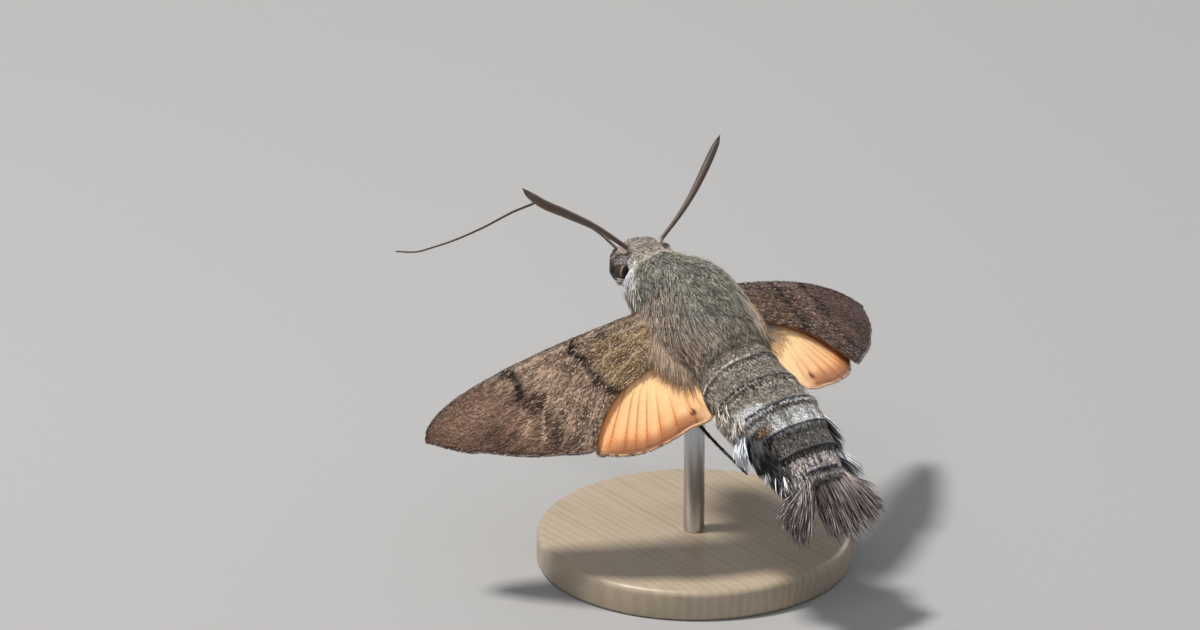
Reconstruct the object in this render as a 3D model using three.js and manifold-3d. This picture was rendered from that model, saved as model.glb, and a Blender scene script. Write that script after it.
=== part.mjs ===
// Hummingbird hawk moth (Macroglossum stellatarum), life size, in hovering flight,
// carried over a plain display stand: a flat round base and one rod.
//
// Units are millimetres and +Z is up. The origin is the centre of the base's
// underside. The moth heads towards -Y and its left side faces +X.
// Inside the body group x runs forward, y to the animal's left and z to its back.
import * as THREE from 'three';
import { mergeVertices } from 'three/addons/utils/BufferGeometryUtils.js';
import Module from 'manifold-3d';

const wasm = await Module();
wasm.setup();

// ---------------------------------------------------------------- dimensions
const HOVER_HEIGHT = 20.0; // thorax centre above the underside of the base
const BODY_PITCH = 23.0; // head-up angle of the body axis, degrees
const GAP = 0.12; // clearance between neighbouring pieces

const THORAX_FRONT = -5.05; // stations run rearwards along the body axis from the thorax centre
const THORAX_REAR = 4.7;
const STRAIGHT_TO = 4.0; // the body axis is straight to here, then the abdomen curls down
const CURL = THREE.MathUtils.degToRad(1.49); // bend of the abdomen per millimetre
const WAIST_ASIDE = 0.5; // the waist bows this far to the moth's left
const ABDOMEN_CUTS = [4.7, 7.35, 11.6, 15.35, 17.5]; // lengths of the abdomen between these stations
// The fan is parted left of the midline. Each lobe: its root's inner and outer edge, then across
// the lobe from -1 (inner) to 1 (outer) the tips' place and their reach.
const FAN_LOBE = {
  left: { root: [0.7, 2.35], tips: [[-1, 2.0, 2.7], [-0.3, 2.7, 3.7], [0.2, 3.2, 4.0], [0.6, 3.7, 3.2], [1, 4.1, 1.6]] },
  right: { root: [0.5, -2.45], tips: [[-1, 0.45, 4.2], [-0.5, -0.8, 4.5], [0, -2.4, 4.35], [0.5, -3.9, 3.9], [1, -5.1, 2.8]] },
};

const FOREWING_LENGTH = 20.5;
const WING_THICKNESS = 0.5;
const WING_SWEEP = { left: 7.4, right: 7.0 }; // degrees forward of straight out
const WING_DROOP = { left: 31.3, right: 27.0 }; // degrees below the body's level
const WING_TWIST = { left: 6.0, right: -0.3 }; // trailing edge down
const WING_CAMBER = { left: 0.4, right: 0.2 }; // arch along the length
const WING_ROOT = [1.6, 2.9, 1.3]; // leading corner of the wing root, left side
const HINDWING_DROP = 0.68; // the hindwing lies this far below the forewing
const HINDWING_TURN = { left: 0, right: 13 }; // degrees drawn forward under the forewing

const HEAD_CENTRE = [7.3, 0, -0.55];
const HEAD_RADII = [1.85, 2.1, 1.85];
const EYE_CENTRE = [7.12, 2.02, -0.78];
const EYE_RADII = [0.95, 0.8, 1.1];

const ANTENNA_BASE = [7.2, 1.4, 0.85];
const ANTENNA_TIP = { left: [12.32, 9.15, 4.87], right: [11.9, -9.15, 5.4] };
const ANTENNA_RADIUS = 0.27;
const ANTENNA_CLUB = 0.41;
// How far each feeler strays from a straight line on its way out, by its share of the length.
const ANTENNA_BOW = {
  left: [[0.3, -0.35], [0.6, 0], [0.82, 0.36], [0.95, 0.2]],
  right: [[0.28, 0.4], [0.5, 0.5], [0.72, 0.31], [0.91, 0.05]],
};
const PROBOSCIS_RADIUS = 0.25;

const BASE_RADIUS = 12.0;
const BASE_THICKNESS = 2.4;
const BASE_BEVEL = 0.45;
const ROD_RADIUS = 0.8;
const ROD_TOP = 18.4;

// ---------------------------------------------------------------- materials
const finish = (r, g, b, roughness, metalness = 0) =>
  new THREE.MeshStandardMaterial({
    color: new THREE.Color().setRGB(r / 255, g / 255, b / 255, THREE.SRGBColorSpace),
    roughness,
    metalness,
  });
const THORAX_FUR = () => finish(122, 124, 110, 0.95);
const HEAD_FUR = () => finish(128, 122, 108, 0.95);
const ABDOMEN_FUR = () => finish(104, 94, 84, 0.9);
const DARK_FUR = () => finish(38, 32, 30, 0.85);
const FOREWING_SCALES = () => finish(112, 96, 82, 0.8);
const HINDWING_SCALES = () => finish(232, 160, 90, 0.75);
const EYE_GLOSS = () => finish(42, 26, 20, 0.15);
const FEELER = () => finish(74, 62, 54, 0.7);
const CUTICLE = () => finish(36, 30, 28, 0.5);
const STAND_WOOD = () => finish(205, 186, 158, 0.5);
const STAND_STEEL = () => finish(178, 180, 182, 0.3, 1.0);

// ---------------------------------------------------------------- small maths
const V = (x, y, z) => new THREE.Vector3(x, y, z);
const lerp = THREE.MathUtils.lerp;
const clamp = THREE.MathUtils.clamp;
const smooth = (a, b, x) => THREE.MathUtils.smoothstep(x, a, b);
const bump = (x, centre, width) => Math.exp(-(((x - centre) / width) ** 2));
const rad = THREE.MathUtils.degToRad;

// Smooth value through a few named stations [position, value].
function along(stations, s) {
  const n = stations.length;
  if (s <= stations[0][0]) return stations[0][1];
  if (s >= stations[n - 1][0]) return stations[n - 1][1];
  let i = 0;
  while (s > stations[i + 1][0]) i++;
  const [x0, y0] = stations[i];
  const [x1, y1] = stations[i + 1];
  const slope = (j) => {
    const a = stations[Math.max(j - 1, 0)];
    const b = stations[Math.min(j + 1, n - 1)];
    return (b[1] - a[1]) / (b[0] - a[0]);
  };
  const h = x1 - x0;
  const t = (s - x0) / h;
  const t2 = t * t;
  const t3 = t2 * t;
  return (2 * t3 - 3 * t2 + 1) * y0 + (t3 - 2 * t2 + t) * h * slope(i)
    + (3 * t2 - 2 * t3) * y1 + (t3 - t2) * h * slope(i + 1);
}

// ---------------------------------------------------------------- geometry helpers
function geometryFrom(positions, triangles) {
  const geometry = new THREE.BufferGeometry();
  geometry.setAttribute('position', new THREE.Float32BufferAttribute(positions, 3));
  geometry.setIndex(triangles);
  return geometry;
}

// A closed skin through rings of points. Each end closes on one point.
function skin(rings, startPoint, endPoint) {
  const count = rings[0].length;
  const positions = [];
  const triangles = [];
  for (const ring of rings) for (const p of ring) positions.push(p.x, p.y, p.z);
  for (let i = 0; i + 1 < rings.length; i++) {
    for (let j = 0; j < count; j++) {
      const k = (j + 1) % count;
      const a = i * count + j;
      const b = i * count + k;
      const c = (i + 1) * count + j;
      const d = (i + 1) * count + k;
      triangles.push(a, b, d, a, d, c);
    }
  }
  const first = positions.length / 3;
  positions.push(startPoint.x, startPoint.y, startPoint.z);
  positions.push(endPoint.x, endPoint.y, endPoint.z);
  const last = (rings.length - 1) * count;
  for (let j = 0; j < count; j++) {
    const k = (j + 1) % count;
    triangles.push(first, k, j);
    triangles.push(first + 1, last + j, last + k);
  }
  return outward(geometryFrom(positions, triangles));
}

// Turns the faces out if the signed volume is negative.
function outward(geometry) {
  const p = geometry.getAttribute('position');
  const index = geometry.getIndex().array;
  let volume = 0;
  const a = V();
  const b = V();
  const c = V();
  for (let i = 0; i < index.length; i += 3) {
    a.fromBufferAttribute(p, index[i]);
    b.fromBufferAttribute(p, index[i + 1]);
    c.fromBufferAttribute(p, index[i + 2]);
    volume += a.dot(b.cross(c));
  }
  if (volume < 0) {
    const flipped = Array.from(index);
    for (let i = 0; i < flipped.length; i += 3) {
      const t = flipped[i + 1];
      flipped[i + 1] = flipped[i + 2];
      flipped[i + 2] = t;
    }
    geometry.setIndex(flipped);
  }
  return geometry;
}

function toSolid(geometry) {
  const bare = geometry.clone();
  bare.deleteAttribute('normal');
  bare.deleteAttribute('uv');
  const merged = mergeVertices(bare, 1e-5);
  return new wasm.Manifold(new wasm.Mesh({
    numProp: 3,
    vertProperties: new Float32Array(merged.getAttribute('position').array),
    triVerts: new Uint32Array(merged.getIndex().array),
  }));
}

function fromSolid(solid) {
  const mesh = solid.getMesh();
  const positions = [];
  for (let i = 0; i < mesh.numVert; i++) {
    for (let j = 0; j < 3; j++) positions.push(mesh.vertProperties[i * mesh.numProp + j]);
  }
  return geometryFrom(positions, Array.from(mesh.triVerts));
}

// Takes the cutters away from a shape and keeps its largest remaining piece.
function trim(geometry, ...cutters) {
  let solid = toSolid(geometry);
  for (const cutter of cutters) solid = solid.subtract(toSolid(cutter));
  const pieces = solid.decompose();
  pieces.sort((a, b) => b.volume() - a.volume());
  return fromSolid(pieces[0]);
}

// ---------------------------------------------------------------- body axis
function spine(s) {
  const aside = WAIST_ASIDE * Math.exp(-(((s - 7.6) / 3) ** 2));
  if (s <= STRAIGHT_TO) return { at: V(-s, aside, 0), back: V(-1, 0, 0), up: V(0, 0, 1) };
  const angle = CURL * (s - STRAIGHT_TO);
  return {
    at: V(-STRAIGHT_TO - Math.sin(angle) / CURL, aside, -(1 - Math.cos(angle)) / CURL),
    back: V(-Math.cos(angle), 0, -Math.sin(angle)),
    up: V(-Math.sin(angle), 0, Math.cos(angle)),
  };
}

// Half-widths and heights of the coat's outer outline at stations along the axis.
const HALF_WIDTH = [[-6.2, 2.35], [-5.05, 3.05], [-4, 3.45], [-2, 3.75], [0, 3.85], [2, 3.8], [4, 3.55],
  [6, 3.78], [8.6, 3.9], [11, 3.8], [12.5, 3.5], [14.6, 3.15], [16.4, 2.8], [17.5, 2.4]];
const HEIGHT_ABOVE = [[-6.2, 1.9], [-5.05, 2.55], [-4, 2.9], [-2, 3.5], [0, 3.75], [2, 3.65], [4, 3.2],
  [6, 2.95], [8.6, 2.8], [11.5, 2.6], [14.6, 2.2], [16.4, 1.85], [17.5, 1.55]];
const HEIGHT_BELOW = [[-6.2, 2.7], [-5.05, 3.55], [-4, 3.85], [-2, 3.8], [0, 3.6], [2, 3.4], [4, 2.9],
  [6, 2.7], [8.6, 2.6], [11.5, 2.5], [14.6, 2.2], [16.4, 1.9], [17.5, 1.6]];

// Rear edges of the abdomen's rings: each overlaps the next one slightly.
const RING_EDGES = [5.3, 7.35, 9.45, 11.6, 13.5, 15.35, 17.3];
function ringFlare(s) {
  if (s < THORAX_REAR) return 0;
  let flare = 0;
  for (const edge of RING_EDGES) flare += 0.1 * smooth(edge - 1.1, edge, s) * (1 - smooth(edge, edge + 0.12, s));
  return flare;
}
// Tufts of long scales stand out along the flanks of the rear rings.
const FLANK_TUFTS = [[9.5, 0.5], [10.9, 0.5], [12.4, 1.3], [14.0, 1.25], [15.5, 1.35], [17.0, 1.5]];
function flankTuft(s) {
  let reach = 0;
  for (const [station, size] of FLANK_TUFTS) reach = Math.max(reach, size * bump(s, station, 0.85));
  return reach;
}

function bodySection(s, angle, grow = 0) {
  const { at, up } = spine(s);
  const side = Math.cos(angle);
  const rise = Math.sin(angle);
  const power = 0.92;
  const y = Math.sign(side) * Math.abs(side) ** power;
  const z = Math.sign(rise) * Math.abs(rise) ** power;
  const flare = ringFlare(s) + grow;
  const tuft = flankTuft(s) * Math.max(0, Math.abs(Math.cos(angle + (side > 0 ? 0.3 : -0.3)))) ** 5;
  const width = along(HALF_WIDTH, s) + flare + tuft;
  const height = (rise > 0 ? along(HEIGHT_ABOVE, s) : along(HEIGHT_BELOW, s)) + flare;
  return at.clone().add(V(0, width * y, 0)).addScaledVector(up, height * z);
}

// A length of the trunk between two stations. The ends close with a shallow dome.
function trunk(from, to, steps, sides, { grow = 0, domeFront = 0, domeRear = 0, extra = null } = {}) {
  const rings = [];
  const ringAt = (s, scale = 1, offset = 0) => {
    const centre = spine(s);
    const ring = [];
    for (let j = 0; j < sides; j++) {
      const angle = (2 * Math.PI * j) / sides;
      const p = bodySection(s, angle, grow);
      if (extra) p.add(extra(s, angle));
      p.sub(centre.at).multiplyScalar(scale).add(centre.at).addScaledVector(centre.back, offset);
      ring.push(p);
    }
    return ring;
  };
  const domeRings = [0.55, 0.85];
  if (domeFront > 0) for (const f of domeRings) rings.push(ringAt(from, f, -domeFront * Math.sqrt(1 - f * f)));
  const stations = [];
  for (let i = 0; i <= steps; i++) stations.push(lerp(from, to, i / steps));
  for (const edge of RING_EDGES) {
    if (edge > from + 0.3 && edge < to - 0.3) stations.push(edge - 0.02, edge + 0.13);
  }
  stations.sort((a, b) => a - b);
  for (const s of stations) rings.push(ringAt(s));
  if (domeRear > 0) for (const f of [...domeRings].reverse()) rings.push(ringAt(to, f, domeRear * Math.sqrt(1 - f * f)));
  const a = spine(from);
  const b = spine(to);
  return skin(rings, a.at.clone().addScaledVector(a.back, -domeFront), b.at.clone().addScaledVector(b.back, domeRear));
}

// The shoulders: hair over the wing roots swells the thorax where the wings leave it.
function shoulders(s, angle) {
  const side = Math.cos(angle);
  const rise = Math.sin(angle);
  const where = bump(s, 0.6, 3.0) * Math.max(0, Math.abs(side)) ** 3 * bump(rise, 0.25, 0.45);
  return V(0, Math.sign(side) * 0.55 * where, 0.1 * where);
}

const thoraxShape = (grow = 0) =>
  trunk(THORAX_FRONT, THORAX_REAR - GAP, 10, 24, { grow, domeFront: 0.35 + grow, extra: shoulders });

// ---------------------------------------------------------------- ellipsoids
function ellipsoid(centre, radii, across, around) {
  const geometry = new THREE.SphereGeometry(1, across, around);
  geometry.scale(...radii);
  geometry.translate(...centre);
  return geometry;
}

// The head: broad and blunt, flatter above, drawn forward into the face between the eyes.
function headShape(grow = 0, across = 18, around = 13) {
  const geometry = new THREE.SphereGeometry(1, across, around);
  geometry.rotateZ(Math.PI / 2);
  const p = geometry.getAttribute('position');
  for (let i = 0; i < p.count; i++) {
    const v = V().fromBufferAttribute(p, i);
    const face = smooth(0.2, 1, v.x) * bump(v.y, 0, 0.55);
    v.x = v.x * (HEAD_RADII[0] + grow) + 0.3 * face;
    v.z = v.z * (HEAD_RADII[2] + grow) - 0.35 * face + 0.16 * bump(v.x, 0.3, 0.9) * smooth(0, 1, v.z);
    v.y = v.y * (HEAD_RADII[1] + grow);
    p.setXYZ(i, v.x, v.y, v.z);
  }
  geometry.translate(...HEAD_CENTRE);
  return geometry;
}

// ---------------------------------------------------------------- feelers, legs and other rods
// A round piece along a curve whose radius changes: ringed cross-sections with closed ends.
function taperedRod(points, radiusAt, steps, sides, flatten = 1) {
  const curve = new THREE.CatmullRomCurve3(points, false, 'centripetal');
  const rings = [];
  let normal = V(0, 0, 1);
  for (let i = 0; i <= steps; i++) {
    const t = i / steps;
    const centre = curve.getPointAt(t);
    const tangent = curve.getTangentAt(t);
    normal = normal.clone().addScaledVector(tangent, -normal.dot(tangent)).normalize();
    const binormal = tangent.clone().cross(normal);
    const r = radiusAt(t);
    const ring = [];
    for (let j = 0; j < sides; j++) {
      const angle = (2 * Math.PI * j) / sides;
      ring.push(centre.clone().addScaledVector(normal, r * Math.cos(angle)).addScaledVector(binormal, r * flatten * Math.sin(angle)));
    }
    rings.push(ring);
  }
  const start = curve.getPointAt(0).addScaledVector(curve.getTangentAt(0), -radiusAt(0) * 0.5);
  const end = curve.getPointAt(1).addScaledVector(curve.getTangentAt(1), radiusAt(1) * 0.8);
  return skin(rings, start, end);
}

function antenna(side) {
  const sign = side === 'left' ? 1 : -1;
  const base = V(ANTENNA_BASE[0], sign * ANTENNA_BASE[1], ANTENNA_BASE[2]);
  const tip = V(...ANTENNA_TIP[side]);
  const axis = tip.clone().sub(base);
  const sag = V(-0.8, 0, -0.4);
  const root = base.clone().addScaledVector(axis.clone().normalize(), -0.5);
  const points = [root, base];
  for (const [t, amount] of ANTENNA_BOW[side]) {
    points.push(base.clone().addScaledVector(axis, t).addScaledVector(sag, amount));
  }
  points.push(tip);
  // Slender shaft, then a club at about four fifths, then the hooked point.
  const radiusAt = (t) => lerp(ANTENNA_RADIUS * 0.92, ANTENNA_CLUB, smooth(0.15, 0.72, t)) * (1 - 0.45 * smooth(0.86, 1, t));
  return taperedRod(points, radiusAt, 16, 8);
}

// The tongue leaves the face, runs forward to its knee and bends down.
const PROBOSCIS_TO_KNEE = [[9.0, 0, -1.7], [10.4, 0.15, -1.68], [12.1, 0.4, -1.72], [15.2, 0.75, -2.5], [17.6, 1.0, -3.3]];
const PROBOSCIS_KNEE = [18.35, 1.1, -3.75];
const PROBOSCIS_BEYOND = [[18.9, 1.2, -4.5], [20.2, 1.7, -6.3], [21.95, 2.4, -9.1], [23.8, 3.0, -11.75], [25.55, 3.5, -13.95], [27.0, 3.8, -15.6], [28.9, 4.05, -17.1]];

function proboscisLength(points) {
  return taperedRod(points.map((p) => V(...p)), () => PROBOSCIS_RADIUS, 2 * points.length + 3, 7);
}

// Each leg: hip, knee, end of the shin, foot.
const LEGS = {
  leg_fore_left: [[3.6, 1.0, -3.0], [5.0, 1.75, -4.55], [2.7, 1.8, -4.95], [0.5, 1.5, -4.65]],
  leg_mid_left: [[0.6, 1.3, -3.1], [1.4, 2.5, -4.6], [-1.8, 2.6, -5.0], [-4.2, 2.35, -4.55]],
  leg_hind_left: [[-2.6, 1.3, -2.7], [-3.2, 2.7, -4.2], [-7.3, 3.05, -4.4], [-13.2, 3.25, -3.75]],
};
const LEG_RADII = [0.36, 0.34, 0.27, 0.25];

function leg(points) {
  const radiusAt = (t) => along([[0, LEG_RADII[0]], [0.3, LEG_RADII[1]], [0.65, LEG_RADII[2]], [1, LEG_RADII[3]]], t);
  return taperedRod(points.map((p) => V(...p)), radiusAt, 12, 7);
}

// ---------------------------------------------------------------- wings
// Outline of the forewing in its own plane: a runs out from the root, b runs rearwards.
const FOREWING_COSTA = [[0, 0.6], [2.5, 0.25], [5, -0.12], [8.3, -0.58], [11, -0.9], [13.5, -1.12], [16, -1.2],
  [17.8, -1.08], [19.2, -0.6], [20.1, 0.1], [20.5, 0.85]];
const FOREWING_REAR = [[0, 4.1], [2, 4.75], [3.9, 5.05], [5.7, 5.35], [7.25, 6.0], [8.6, 6.95], [9.6, 7.9], [10.3, 8.35],
  [11.2, 8.15], [12.2, 7.7], [14, 6.7], [15.9, 5.4], [17.7, 3.95], [18.9, 2.95], [19.8, 2.0], [20.5, 1.15]];
// Outline of the hindwing, in the forewing's plane, as reach from the hindwing's root by direction.
const HINDWING_ROOT = [0.3, 3.5];
const HINDWING_REACH = [[8, 5.2], [18, 8.0], [24, 10.1], [28, 10.9], [33, 10.45], [38, 10.1], [46, 9.4], [56, 8.35],
  [68, 7.35], [78, 7.1], [83, 6.8], [90, 5.2], [97, 3.7]];

function wingFrame(side) {
  const sign = side === 'left' ? 1 : -1;
  const sweep = rad(WING_SWEEP[side]);
  const droop = rad(WING_DROOP[side]);
  const twist = rad(WING_TWIST[side]);
  const out = V(Math.sin(sweep) * Math.cos(droop), Math.cos(sweep) * Math.cos(droop) * sign, -Math.sin(droop));
  const rear = V(-1, 0, 0).addScaledVector(out, out.x).normalize();
  let up = out.clone().cross(rear);
  if (up.z < 0) up.negate();
  const back = rear.clone().multiplyScalar(Math.cos(twist)).addScaledVector(up, -Math.sin(twist)).normalize();
  up = out.clone().cross(back);
  if (up.z < 0) up.negate();
  return { root: V(WING_ROOT[0], sign * WING_ROOT[1], WING_ROOT[2]), out, back, up };
}
// Gentle camber: the wing arches along its length and cups towards the trailing edge.
const camber = (side, a, b) => WING_CAMBER[side] * Math.sin((Math.PI * clamp(a, 0, 20)) / 20) - 0.007 * (b - 1) ** 2 - 0.0008 * a * a;

function plate(columns, rows, middle, thickness) {
  const top = [];
  const bottom = [];
  const h = 1e-3;
  for (let i = 0; i <= columns; i++) {
    for (let j = 0; j <= rows; j++) {
      const u = i / columns;
      const v = j / rows;
      const p = middle(u, v);
      const du = middle(Math.min(u + h, 1), v).sub(middle(Math.max(u - h, 0), v));
      const dv = middle(u, Math.min(v + h, 1)).sub(middle(u, Math.max(v - h, 0)));
      const normal = du.cross(dv).normalize();
      top.push(p.clone().addScaledVector(normal, thickness / 2));
      bottom.push(p.clone().addScaledVector(normal, -thickness / 2));
    }
  }
  const positions = [];
  for (const p of top.concat(bottom)) positions.push(p.x, p.y, p.z);
  const offset = top.length;
  const id = (i, j) => i * (rows + 1) + j;
  const triangles = [];
  for (let i = 0; i < columns; i++) {
    for (let j = 0; j < rows; j++) {
      const [a, b, c, d] = [id(i, j), id(i + 1, j), id(i + 1, j + 1), id(i, j + 1)];
      triangles.push(a, b, c, a, c, d, offset + a, offset + c, offset + b, offset + a, offset + d, offset + c);
    }
  }
  const rim = [];
  for (let i = 0; i < columns; i++) rim.push([id(i, 0), id(i + 1, 0)]);
  for (let j = 0; j < rows; j++) rim.push([id(columns, j), id(columns, j + 1)]);
  for (let i = columns; i > 0; i--) rim.push([id(i, rows), id(i - 1, rows)]);
  for (let j = rows; j > 0; j--) rim.push([id(0, j), id(0, j - 1)]);
  for (const [a, b] of rim) triangles.push(a, offset + a, offset + b, a, offset + b, b);
  return outward(geometryFrom(positions, triangles));
}

function forewing(side) {
  const frame = wingFrame(side);
  const middle = (u, v) => {
    const a = FOREWING_LENGTH * (1 - (1 - u) ** 1.25);
    const b = lerp(along(FOREWING_COSTA, a), along(FOREWING_REAR, a), v);
    return frame.root.clone().addScaledVector(frame.out, a).addScaledVector(frame.back, b).addScaledVector(frame.up, camber(side, a, b));
  };
  return plate(17, 5, middle, WING_THICKNESS);
}

function hindwing(side) {
  const frame = wingFrame(side);
  const first = HINDWING_REACH[0][0];
  const last = HINDWING_REACH[HINDWING_REACH.length - 1][0];
  const middle = (u, v) => {
    const angle = lerp(first, last, u);
    const reach = lerp(0.5, along(HINDWING_REACH, angle), v);
    const turned = rad(angle - HINDWING_TURN[side]);
    const a = HINDWING_ROOT[0] + reach * Math.cos(turned);
    const b = HINDWING_ROOT[1] + reach * Math.sin(turned);
    const drop = HINDWING_DROP + 0.1 * smooth(4, 11, b);
    return frame.root.clone().addScaledVector(frame.out, a).addScaledVector(frame.back, b).addScaledVector(frame.up, camber(side, a, b) - drop);
  };
  return plate(13, 5, middle, WING_THICKNESS);
}

// ---------------------------------------------------------------- tail fan
// Each lobe is a flat brush of long scales: narrow at the tail, wide and notched at its tips.
function fanLobe(side) {
  const sign = side === 'left' ? 1 : -1;
  const lobe = FAN_LOBE[side];
  const root = spine(ABDOMEN_CUTS[ABDOMEN_CUTS.length - 1] + GAP);
  const sides = 18;
  const steps = 7;
  const rings = [];
  for (let i = 0; i <= steps; i++) {
    const t = i / steps;
    const ring = [];
    for (let j = 0; j < sides; j++) {
      const angle = (2 * Math.PI * j) / sides;
      const across = Math.cos(angle);
      const c = sign * across;
      const rootY = lerp(lobe.root[0], lobe.root[1], (1 + c) / 2);
      const tipY = along(lobe.tips.map(([x, y]) => [x, y]), c);
      const length = along(lobe.tips.map(([x, , r]) => [x, r]), c);
      const height = lerp(1.35, 0.6, t) * (1 - 0.25 * smooth(0.8, 1, t));
      // The brush ends are rounded, with shallow notches between the locks.
      const notch = 0.22 * Math.cos(across * 13.5) * smooth(0.55, 1, t);
      const droop = 0.45 * t * t;
      ring.push(root.at.clone()
        .addScaledVector(root.back, t * length + notch)
        .add(V(0, lerp(rootY, tipY, t), 0))
        .addScaledVector(root.up, height * Math.sin(angle) - droop));
    }
    rings.push(ring);
  }
  const mean = (ring) => ring.reduce((sum, p) => sum.add(p), V(0, 0, 0)).multiplyScalar(1 / ring.length);
  return skin(rings, mean(rings[0]), mean(rings[steps]).addScaledVector(root.back, 0.1));
}

// ---------------------------------------------------------------- assembly
const pieces = [];
function piece(name, geometry, material) {
  geometry.deleteAttribute('uv');
  geometry.deleteAttribute('normal');
  const shaped = mergeVertices(geometry, 1e-5);
  shaped.computeVertexNormals();
  const mesh = new THREE.Mesh(shaped, material);
  mesh.name = name;
  pieces.push(mesh);
  return mesh;
}

const moth = new THREE.Group();
moth.position.set(0, 0, HOVER_HEIGHT);
moth.quaternion.setFromRotationMatrix(new THREE.Matrix4().makeBasis(
  V(0, -Math.cos(rad(BODY_PITCH)), Math.sin(rad(BODY_PITCH))),
  V(1, 0, 0),
  V(0, Math.sin(rad(BODY_PITCH)), Math.cos(rad(BODY_PITCH))),
));

const thorax = thoraxShape();
const thoraxCutter = thoraxShape(GAP);
const neck = trunk(-6.25, THORAX_FRONT, 2, 14);

const head = headShape();
const headCutter = headShape(GAP + 0.03, 14, 10);
const eyeLeft = ellipsoid(EYE_CENTRE, EYE_RADII, 14, 9);
const eyeRight = ellipsoid([EYE_CENTRE[0], -EYE_CENTRE[1], EYE_CENTRE[2]], EYE_RADII, 14, 9);
const socket = (sign) => ellipsoid([EYE_CENTRE[0], sign * EYE_CENTRE[1], EYE_CENTRE[2]], EYE_RADII.map((r) => r + 0.07), 14, 9);
const palp = (sign) => taperedRod(
  [V(7.6, sign * 0.95, -2.2), V(8.45, sign * 0.98, -2.45), V(9.05, sign * 0.9, -2.12), V(9.3, sign * 0.76, -1.5), V(9.2, sign * 0.62, -0.95)],
  (t) => 0.56 - 0.2 * t, 7, 8);
const tongue = proboscisLength([...PROBOSCIS_TO_KNEE, PROBOSCIS_KNEE.map((c, i) => lerp(c, PROBOSCIS_TO_KNEE[4][i], 0.12))]);
const tongueCutter = taperedRod(PROBOSCIS_TO_KNEE.slice(0, 3).map((p) => V(...p)), () => PROBOSCIS_RADIUS + 0.06, 6, 8);

moth.add(
  piece('thorax', thorax, THORAX_FUR()),
  piece('neck', trim(neck, headCutter, thoraxCutter, socket(1), socket(-1)), HEAD_FUR()),
  piece('head', trim(head, socket(1), socket(-1)), HEAD_FUR()),
  piece('eye_left', eyeLeft, EYE_GLOSS()),
  piece('eye_right', eyeRight, EYE_GLOSS()),
  piece('palp_left', trim(palp(1), headCutter, socket(1), tongueCutter), DARK_FUR()),
  piece('palp_right', trim(palp(-1), headCutter, socket(-1), tongueCutter), DARK_FUR()),
  piece('antenna_left', trim(antenna('left'), headCutter), FEELER()),
  piece('antenna_right', trim(antenna('right'), headCutter), FEELER()),
  piece('proboscis_base', trim(tongue, headCutter), CUTICLE()),
  piece('proboscis_tip', proboscisLength([PROBOSCIS_KNEE.map((c, i) => lerp(c, PROBOSCIS_BEYOND[0][i], 0.35)), ...PROBOSCIS_BEYOND]), CUTICLE()),
);

for (let i = 0; i + 1 < ABDOMEN_CUTS.length; i++) {
  const last = i + 2 === ABDOMEN_CUTS.length;
  const shape = trunk(ABDOMEN_CUTS[i], ABDOMEN_CUTS[i + 1] - GAP, 4 + (i > 1 ? 3 : 0), i > 1 ? 26 : 24);
  moth.add(piece(`abdomen_${i + 1}`, shape, last ? DARK_FUR() : ABDOMEN_FUR()));
}
moth.add(
  piece('tail_fan_left', fanLobe('left'), DARK_FUR()),
  piece('tail_fan_right', fanLobe('right'), DARK_FUR()),
);

const abdomenCutter = trunk(ABDOMEN_CUTS[0], ABDOMEN_CUTS[4], 8, 24, { grow: GAP });
for (const side of ['left', 'right']) {
  moth.add(
    piece(`forewing_${side}`, trim(forewing(side), thoraxCutter, abdomenCutter), FOREWING_SCALES()),
    piece(`hindwing_${side}`, trim(hindwing(side), thoraxCutter, abdomenCutter), HINDWING_SCALES()),
  );
}
for (const [name, points] of Object.entries(LEGS)) {
  for (const sign of [1, -1]) {
    const mirrored = points.map(([x, y, z]) => [x, sign * y, z]);
    moth.add(piece(sign > 0 ? name : name.replace('left', 'right'), trim(leg(mirrored), thoraxCutter, abdomenCutter), CUTICLE()));
  }
}

// The stand: a bevelled disc and a rod that ends just under the thorax.
const stand = new THREE.Group();
const disc = new THREE.LatheGeometry([
  new THREE.Vector2(0, 0),
  new THREE.Vector2(BASE_RADIUS - 0.2, 0),
  new THREE.Vector2(BASE_RADIUS, 0.2),
  new THREE.Vector2(BASE_RADIUS, BASE_THICKNESS - BASE_BEVEL),
  new THREE.Vector2(BASE_RADIUS - BASE_BEVEL, BASE_THICKNESS),
  new THREE.Vector2(0, BASE_THICKNESS),
], 40);
disc.rotateX(Math.PI / 2);
const rod = new THREE.CylinderGeometry(ROD_RADIUS, ROD_RADIUS, ROD_TOP - BASE_THICKNESS - GAP, 20);
rod.rotateX(Math.PI / 2);
rod.translate(0, 0, (ROD_TOP + BASE_THICKNESS + GAP) / 2);
moth.updateMatrixWorld(true);
const thoraxInPlace = thoraxCutter.clone().applyMatrix4(moth.matrixWorld);
stand.add(
  piece('stand_base', outward(mergeVertices(stripped(disc), 1e-5)), STAND_WOOD()),
  piece('stand_rod', trim(rod, thoraxInPlace), STAND_STEEL()),
);
function stripped(geometry) {
  geometry.deleteAttribute('uv');
  geometry.deleteAttribute('normal');
  return geometry;
}

const model = new THREE.Group();
model.name = 'hummingbird_hawk_moth';
model.add(moth, stand);

export default model;
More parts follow.
